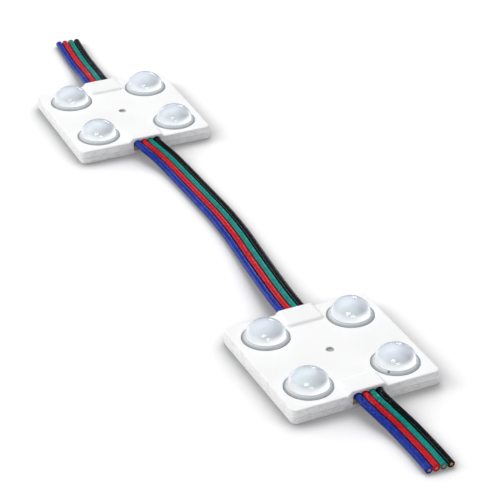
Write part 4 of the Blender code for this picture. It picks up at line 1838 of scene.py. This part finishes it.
@dataclass(frozen=True)
class BaseTray:
    """The lower half of a housing: a floor, a wall with a tongue, two notches and a tape pocket."""

    outline: Outline
    bottom: float = 0.15 * MM
    pocket_top: float = 0.5 * MM
    pocket_half: float = 15.15 * MM
    pocket_corner: float = 1.65 * MM
    foot_rounding: float = 0.25 * MM
    foot_steps: int = 6
    floor: float = 1.1 * MM
    rim: float = 1.68 * MM
    rim_break: float = 0.06 * MM
    tongue_inset: float = 0.6 * MM
    tongue_top: float = 2.3 * MM
    tongue_break: float = 0.1 * MM
    wall: float = 1.1 * MM
    post_offset: float = 12.0 * MM
    post_radius: float = 0.8 * MM
    post_rise: float = 0.35 * MM
    post_steps: int = 48

    def underside(self, body: Body) -> None:
        """The pocket, the standing ring round it, and the outer face up to the level of the floor.

        The pocket's loops are core points scaled to its own core square, plus the outward direction
        times its corner's radius.

        Args:
            body: The tray so far.
        """
        shape = self.outline
        share = (self.pocket_half - self.pocket_corner) / (shape.half - shape.corner)
        pocket = shape.core * share + shape.outward * self.pocket_corner
        rows = [lifted(pocket * part, self.pocket_top) for part in (0.0, 0.5, 1.0)]
        rows.append(lifted(pocket, self.bottom))
        for inset, drop in rounded(self.foot_rounding, self.foot_steps):
            rows.append(shape.loop(inset, self.bottom - drop))
        body.grid(np.stack([*rows, shape.loop(0.0, self.floor)]), closed=True)

    def wall_and_floor(self, body: Body) -> None:
        """The wall with its tongue, cut by both mouths, the floor that fills them, and the posts.

        Args:
            body: The tray so far.
        """
        edge, tongue, cut = self.rim_break, self.tongue_inset, self.tongue_break
        self.outline.wall(body, [
            (0.0, self.floor), (0.0, self.rim - edge), (edge, self.rim), (tongue, self.rim),
            (tongue, self.tongue_top - cut), (tongue + cut, self.tongue_top),
            (self.wall, self.tongue_top), (self.wall, self.floor),
        ])
        radius, top = self.post_radius, self.floor + self.post_rise
        places = (self.post_offset, -self.post_offset)
        posts = [ring(0.0, y, radius, self.post_steps) for y in places]
        flat, faces = sheet_with_holes(self.outline.notched(self.wall, self.outline.half), posts)
        body.add(lifted(flat, self.floor), faces)
        profile = [(radius, self.floor), (radius, top - cut), (radius - cut, top), (0.0, top)]
        for y in places:
            body.grid(turned(np.array(profile), self.post_steps, 0.0, y), closed=True)

    def build(self, placement: Placement, book: FinishBook) -> bpy.types.Object:
        """One tray.

        Args:
            placement: The module.
            book: Where the materials come from.

        Returns:
            The piece.
        """
        body = Body(placement)
        self.underside(body)
        self.wall_and_floor(body)
        tray = body.object(f"{placement.name}_moulded_tray", [TRAY_WHITE], book, sharp=35.0)
        return tied(tray, f"{placement.name}_base_tray")


# The stage


def direction(azimuth: float, elevation: float) -> Vector:
    """The way from the object to a place at this azimuth and elevation, in degrees."""
    a, e = math.radians(azimuth), math.radians(elevation)
    return Vector((math.sin(a) * math.cos(e), -math.cos(a) * math.cos(e), math.sin(e)))


class LampUse(Enum):
    """What a lamp is for: lighting surfaces, or being mirrored in glossy ones."""

    LIGHT = "light"
    SHINE = "shine"


class LampShape(Enum):
    """A lamp's shape, as Blender names it."""

    OBLONG = "RECTANGLE"
    OVAL = "ELLIPSE"


@dataclass(frozen=True)
class Lamp:
    """A soft white lamp that faces the object."""

    name: str
    azimuth: float
    elevation: float
    width: float
    height: float
    radiance: float
    distance: float = 1.0
    roll: float = 0.0
    shape: LampShape = LampShape.OBLONG
    use: LampUse = LampUse.LIGHT

    def build(self, aim: Vector) -> bpy.types.Object:
        """Place the lamp.

        Args:
            aim: The point that it faces.

        Returns:
            The lamp.
        """
        data = bpy.data.lights.new(self.name, "AREA")
        data.shape = self.shape.value
        data.size, data.size_y = self.width, self.height
        full = math.pi / 4 if self.shape is LampShape.OVAL else 1.0
        data.energy = self.radiance * self.width * self.height * full * math.pi
        lamp = bpy.data.objects.new(self.name, data)
        towards = direction(self.azimuth, self.elevation)
        facing = towards.to_track_quat("Z", "Y").to_matrix().to_4x4()
        rolled = facing @ Matrix.Rotation(math.radians(self.roll), 4, "Z")
        lamp.matrix_world = Matrix.Translation(aim + towards * self.distance) @ rolled
        lamp.visible_glossy = self.use is LampUse.SHINE
        lamp.visible_diffuse = lamp.visible_transmission = self.use is LampUse.LIGHT
        bpy.context.scene.collection.objects.link(lamp)
        return lamp


GLINT = {"shape": LampShape.OVAL, "use": LampUse.SHINE}
LAMPS = (
    Lamp("overhead", 250.0, 60.0, 1.8, 1.8, 3.5, distance=2.4),
    Lamp("left", -30.0, 32.0, 1.1, 1.0, 5.3, distance=2.0),
    Lamp("front", 95.0, 25.0, 1.6, 1.2, 0.5, distance=2.4),
    Lamp("left_glint", 47.0, 50.0, 0.48, 0.34, 8.0, roll=30.0, **GLINT),
    Lamp("right_glint", 79.0, 30.0, 0.43, 0.31, 8.0, roll=10.0, **GLINT),
    Lamp("rim_glint", 234.0, 14.0, 0.20, 0.10, 6.0, **GLINT),
)
CABLE_SHEEN = Lamp(
    "cable_sheen", -49.0, 20.0, 1.9, 0.4, 4.5, distance=2.0, roll=32.0, use=LampUse.SHINE
)


@dataclass(frozen=True)
class Studio:
    """The floor, the lamps, the surroundings and the camera that took the picture."""

    azimuth: float = 65.029
    elevation: float = 30.970
    roll: float = -0.542
    distance: float = 475.42 * MM
    shift_right: float = -17.69 * MM
    shift_up: float = 24.94 * MM
    focal_px: float = 2148.5
    frame_px: float = 500.0
    sensor: float = 36.0
    nearest: float = 10.0 * MM
    aim: Triple = (-40.0 * MM, 0.0, 0.0)
    floor_reach: float = 3.0
    horizon: Colour = (0.25, 0.25, 0.31)
    overhead: Colour = (0.36, 0.36, 0.37)

    def camera(self) -> None:
        """The camera, placed and aimed as the picture was taken."""
        back = direction(self.azimuth, self.elevation)
        a, roll = math.radians(self.azimuth), math.radians(self.roll)
        level = Vector((math.cos(a), math.sin(a), 0.0))
        above = back.cross(level)
        right = level * math.cos(roll) + above * math.sin(roll)
        up = above * math.cos(roll) - level * math.sin(roll)
        eye = back * self.distance + right * self.shift_right + up * self.shift_up
        data = bpy.data.cameras.new("camera")
        data.sensor_width, data.sensor_fit = self.sensor, "HORIZONTAL"
        data.lens = self.sensor * self.focal_px / self.frame_px
        data.clip_start = self.nearest
        camera = bpy.data.objects.new("camera", data)
        columns = [(*column, 0.0) for column in (right, up, back)]
        camera.matrix_world = Matrix([*columns, (*eye, 1.0)])
        camera.matrix_world.transpose()
        bpy.context.scene.collection.objects.link(camera)
        bpy.context.scene.camera = camera

    def surroundings(self) -> None:
        """The world: pale from halfway up, greyer and a little violet at the horizon."""
        world = bpy.data.worlds.new("studio")
        bpy.context.scene.world = world
        sheet = NodeSheet(world, "ShaderNodeOutputWorld")
        way = sheet.node("ShaderNodeTexCoord").outputs["Generated"]
        height = sheet.signal("ShaderNodeSeparateXYZ", "Z", feeds={0: way})
        stops = {"stops": ((0.0, self.horizon), (0.5, self.overhead))}
        sky = sheet.node("ShaderNodeValToRGB", stops, {"Fac": height}).outputs["Color"]
        sheet.show(sheet.node("ShaderNodeBackground", feeds={"Color": sky}))

    def floor(self, book: FinishBook) -> None:
        """The white table under the object.

        Args:
            book: Where its material comes from.
        """
        corners = lifted(self.floor_reach * np.array([(-1, -1), (1, -1), (1, 1), (-1, 1)]), 0.0)
        mesh = bpy.data.meshes.new("floor")
        mesh.from_pydata(corners.tolist(), [], [(0, 1, 2, 3)])
        mesh.materials.append(book.material(StudioFloor()))
        floor = bpy.data.objects.new("floor", mesh)
        bpy.context.scene.collection.objects.link(floor)

    def sheen(self, pieces: Sequence[bpy.types.Object]) -> None:
        """A lamp that only these pieces mirror, which draws a streak of light along them.

        Args:
            pieces: The pieces.
        """
        lamp = CABLE_SHEEN.build(Vector(self.aim))
        lit = bpy.data.collections.new("cable_pieces")
        for piece in pieces:
            lit.objects.link(piece)
        lamp.light_linking.receiver_collection = lit

    def build(self, book: FinishBook) -> None:
        """Set the whole stage.

        Args:
            book: Where the floor's material comes from.
        """
        self.camera()
        self.floor(book)
        self.surroundings()
        for lamp in LAMPS:
            lamp.build(Vector(self.aim))
        bpy.context.scene.view_settings.view_transform = "Standard"


def dress_nodes(frame: dict, book: FinishBook) -> None:
    """Give each carried-over CAD node its finish.

    Args:
        frame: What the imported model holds.
        book: Where the materials come from.
    """
    for name, node in frame["nodes"].items():
        for key, finish in CARRIED_OVER.items():
            if f"_{key}" in name and not node.hide_render:
                node.data.materials.clear()
                node.data.materials.append(book.material(finish))


def main() -> None:
    """Build the stage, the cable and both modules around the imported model, and log each piece."""
    logging.basicConfig(level=logging.INFO, format="%(name)s: %(message)s")
    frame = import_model()
    book = FinishBook()
    studio = Studio()
    studio.build(book)
    pieces = Cable().build(book)
    studio.sheen(pieces)
    lens, package, outline = DomeLens(), LightPackage(), Outline()
    cover, tray = TopCover(outline), BaseTray(outline)
    for placement in (NEAR, FAR):
        pieces += [cover.build(placement, book), tray.build(placement, book)]
        for index in range(1, len(LENS_CORNERS) + 1):
            seat = Seat(placement, index)
            pieces += [package.build(seat, book), lens.build(seat, book)]
    dress_nodes(frame, book)
    for piece in pieces:
        LOG.info("%s: %d faces", piece.name, len(piece.data.polygons))


if __name__ == "__main__":
    main()
